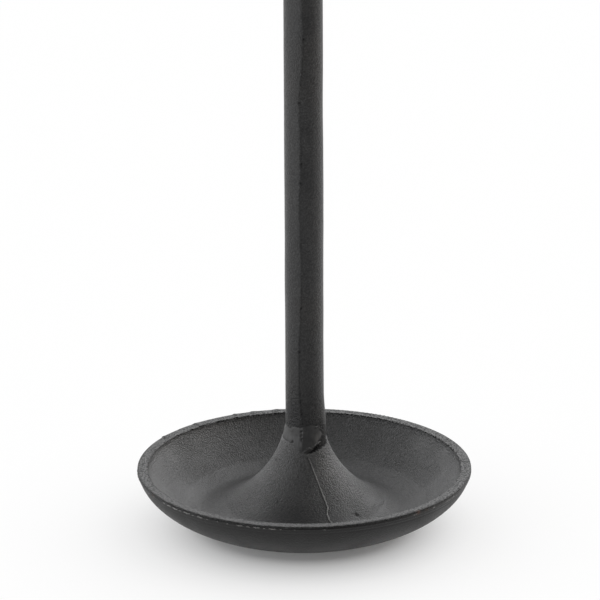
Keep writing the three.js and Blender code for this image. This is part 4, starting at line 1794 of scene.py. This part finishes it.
@dataclass
class Studio:
    """A plain pale floor under a soft white dome.

    Attributes:
        floor_size: how far the sheet reaches to the back and from side to side.
        floor_front: how far the sheet reaches in front of the stand, out of the picture.
        floor_colour: the floor's paper.
        paper_glow: (mm from the stem's axis, share) of white that the camera and reflections see on the paper:
            a white backdrop far from the stand, and painted light that lightens the stand's shadow nearer to
            it.
        low_levels: (degrees, level) of the dome's light near the horizon, from the front to the right.
        high_levels: the same half-way up the dome.
        top_level: the dome's light straight above.
        low_degrees: how high the low levels stand.
        high_degrees: how high the high levels stand.
        white: the tint of the dome.
        warm: the tint of its low part at the right.
        warm_degrees: where that part lies.
    """

    floor_size: float = 120.0
    floor_front: float = 0.5
    floor_colour: Colour = (0.92, 0.92, 0.915)
    paper_glow: Table = (
        (70, 0.10), (83, 0.34), (101, 0.55), (118, 0.68), (140, 0.74), (230, 0.90),
    )
    low_levels: Table = (
        (0, 0.50), (22.5, 0.35), (45, 0.50), (68, 0.60), (90, 2.10), (135, 3.10), (157, 3.00), (180, 1.60),
        (203, 2.20), (225, 2.10), (270, 2.30), (315, 2.15), (337.5, 1.05),
    )
    high_levels: Table = (
        (0, 0.05), (45, 0.50), (90, 1.70), (135, 2.30), (157, 2.10), (180, 1.10), (203, 1.70), (225, 1.50),
        (270, 0.75), (315, 0.05),
    )
    top_level: float = 0.22
    low_degrees: float = 12
    high_degrees: float = 45
    white: Colour = (0.988, 0.992, 1.0)
    warm: Colour = (1.0, 0.925, 0.85)
    warm_degrees: tuple[float, float] = (60, 110)

    def build(self) -> None:
        """Makes the floor and the dome, and sets the view."""
        self._floor()
        self._dome()
        bpy.context.scene.view_settings.view_transform = "Standard"

    def _floor(self) -> None:
        """A wide sheet of pale paper that keeps the stand's shadow, lightened near the stand by painted white
        light.
        """
        half = self.floor_size / 2
        front = -self.floor_front
        corners = [(-half, front, 0), (half, front, 0), (half, half, 0), (-half, half, 0)]
        mesh = bpy.data.meshes.new("studio_floor")
        mesh.from_pydata(corners, [], [(0, 1, 2, 3)])
        floor = new_object("studio_floor", mesh)
        material = bpy.data.materials.new("pale_paper")
        material.use_nodes = True
        nodes = NodeBuilder(material.node_tree)
        surface = material.node_tree.nodes["Principled BSDF"]
        place = nodes.add("ShaderNodeTexCoord").outputs["Object"]
        fibres = nodes.ramp(nodes.noise(place, 1.5 * MM, 2.0, 2.0), 0.3, 0.7, 0.0, 1.0)
        slightly_darker = tuple(0.985 * part for part in self.floor_colour)
        colour = nodes.mix_colour(fibres, (*self.floor_colour, 1), (*slightly_darker, 1))
        nodes.join(colour, surface.inputs["Base Color"])
        surface.inputs["Roughness"].default_value = 0.9
        surface.inputs["Specular IOR Level"].default_value = 0.1
        rays = nodes.add("ShaderNodeLightPath").outputs
        seen = nodes.math("MAXIMUM", rays["Is Camera Ray"], rays["Is Glossy Ray"])
        seen = nodes.math("MAXIMUM", seen, rays["Is Transmission Ray"])
        white = nodes.first("ShaderNodeEmission", None, {"Color": (1, 1, 1, 1), "Strength": 1.0})
        flat = nodes.vector("MULTIPLY", place, (1.0, 1.0, 0.0))
        away = nodes.add("ShaderNodeVectorMath", {"operation": "LENGTH"}, {0: flat}).outputs["Value"]
        reach = self.paper_glow[-1][0] * MM
        node = nodes.add("ShaderNodeValToRGB", None, {0: nodes.math("DIVIDE", away, reach)})
        self._stops(node, [(distance * MM / reach, (share,) * 3) for distance, share in self.paper_glow])
        # Painted light: white seen by the camera and in reflections, rising away from the stand, lightens the
        # stand's shadow.
        share = nodes.times(seen, node.outputs[0])
        lit = nodes.first("ShaderNodeMixShader", None, {0: share, 1: surface.outputs[0], 2: white})
        nodes.join(lit, material.node_tree.nodes["Material Output"].inputs["Surface"])
        mesh.materials.append(material)

    def _stops(self, node: bpy.types.Node, stops: Sequence[tuple[float, Colour]]) -> None:
        """Sets the stops of a colour ramp, the first and the last of which it already has."""
        elements = node.color_ramp.elements
        elements[0].position, elements[-1].position = stops[0][0], stops[-1][0]
        for position, _ in stops[1:-1]:
            elements.new(position)
        for stop, (_, colour) in zip(sorted(elements, key=lambda one: one.position), stops):
            stop.color = (*colour, 1)

    def _ring(self, nodes: NodeBuilder, turn: Socket, levels: Table, warm: bool) -> Socket:
        """The dome's light at one height, by the share of a turn from the front to the right."""
        node = nodes.add("ShaderNodeValToRGB", None, {0: turn})
        low, high = self.warm_degrees
        stops = []
        for degrees, level in (*levels, (360.0, levels[0][1])):
            tint = self.warm if warm and low < degrees < high else self.white
            stops.append((degrees / 360, tuple(level * part for part in tint)))
        self._stops(node, stops)
        return node.outputs[0]

    def _dome(self) -> None:
        """The dome's light by direction: broad at the back and the sides, dim behind the camera.

        The camera itself sees it as plain white, past the end of the floor.
        """
        world = bpy.data.worlds.new("studio_dome")
        world.use_nodes = True
        bpy.context.scene.world = world
        nodes = NodeBuilder(world.node_tree)
        background = world.node_tree.nodes["Background"]
        direction = nodes.add("ShaderNodeTexCoord").outputs["Generated"]
        parts = nodes.add("ShaderNodeSeparateXYZ", None, {0: direction}).outputs
        bearing = nodes.math("ARCTAN2", parts["X"], nodes.times(parts["Y"], -1.0))
        turn = nodes.math("FRACT", nodes.math("ADD", nodes.math("DIVIDE", bearing, FULL_TURN), 1.0))
        rise = nodes.math("ARCSINE", parts["Z"])
        low, high = math.radians(self.low_degrees), math.radians(self.high_degrees)
        climb = {"interpolation_type": "LINEAR"}
        to_high = nodes.first("ShaderNodeMapRange", climb, {0: rise, 1: low, 2: high})
        to_top = nodes.first("ShaderNodeMapRange", climb, {0: rise, 1: high, 2: math.pi / 2})
        low_ring = self._ring(nodes, turn, self.low_levels, True)
        high_ring = self._ring(nodes, turn, self.high_levels, False)
        light = nodes.mix_colour(to_high, low_ring, high_ring)
        light = nodes.mix_colour(to_top, light, (*([self.top_level] * 3), 1))
        seen = nodes.add("ShaderNodeLightPath").outputs["Is Camera Ray"]
        nodes.join(nodes.mix_colour(seen, light, (1, 1, 1, 1)), background.inputs["Color"])
        background.inputs["Strength"].default_value = 1.0


# ---------------------------------------------------------------- the whole stand


def main() -> None:
    """Builds the studio and every piece of the stand in order."""
    logging.basicConfig(level=logging.INFO, format="%(name)s: %(message)s")
    dish, pan = BaseDish(), CandlePan()
    Studio().build()
    PhotoCamera().build(dish)

    turned, threads, ring = turned_casting_tree(), iron_thread_tree(), pads_round_ring_tree()
    cast, weld = CAST_COAT.material(), WELD_COAT.material()
    casting = dish.build(turned, cast)
    dress(casting, Slot.CAST_BLACK, "base_dish")
    dress(CoreVein().build(threads, dish, casting, VEIN_COAT.material()), Slot.CAST_BLACK)
    pads = FootPads()
    dress(pads.build(turned, ring, PadRubber().material()), Slot.PAD_RUBBER, *pads.nodes)
    dress(Stem().build(turned, STEM_COAT.material()), Slot.STEM_BLACK, "stem_tube")

    joint = WeldJoint()
    base_weld = DressedWeld(
        name="base_weld_dressed",
        flare=dish.trumpet() - (0, dish.depth),
        level=dish.rim_level,
        direction=1,
        low=joint.lip,
        high=joint.top,
        gap=joint.gap,
        form=StemForm(),
        dents=BASE_WELD_DENTS,
        beads=BASE_WELD_BEADS,
        seed=4,
    )
    dress(base_weld.build(weld), Slot.CAST_BLACK, "base_weld")
    dress(pan.build(turned, cast), Slot.CAST_BLACK, "candle_pan")
    pan_weld = DressedWeld(
        name="pan_weld_dressed",
        flare=pan.neck() * (1, -1),
        level=pan.underside,
        direction=-1,
        low=RoundTable(((0, 11.2), (70, 10.8), (150, 11.5), (230, 11.0), (300, 11.4))),
        high=RoundTable(((0, 24.5), (80, 23.4), (170, 24.8), (260, 23.8))),
        gap=RoundTable(((0, 0.1), (120, 0.3), (200, 0.0), (300, 0.2))),
        form=None,
        dents=PAN_WELD_DENTS,
        beads=(),
        seed=9,
    )
    dress(pan_weld.build(weld), Slot.CAST_BLACK, "pan_weld")
    dress(Pricket().build(turned, PRICKET_COAT.material()), Slot.PRICKET_BLACK, "pricket")

    dress(RimFlash().build(threads, dish, FLASH_COAT.material()), Slot.CAST_BLACK)


if __name__ == "__main__":
    main()
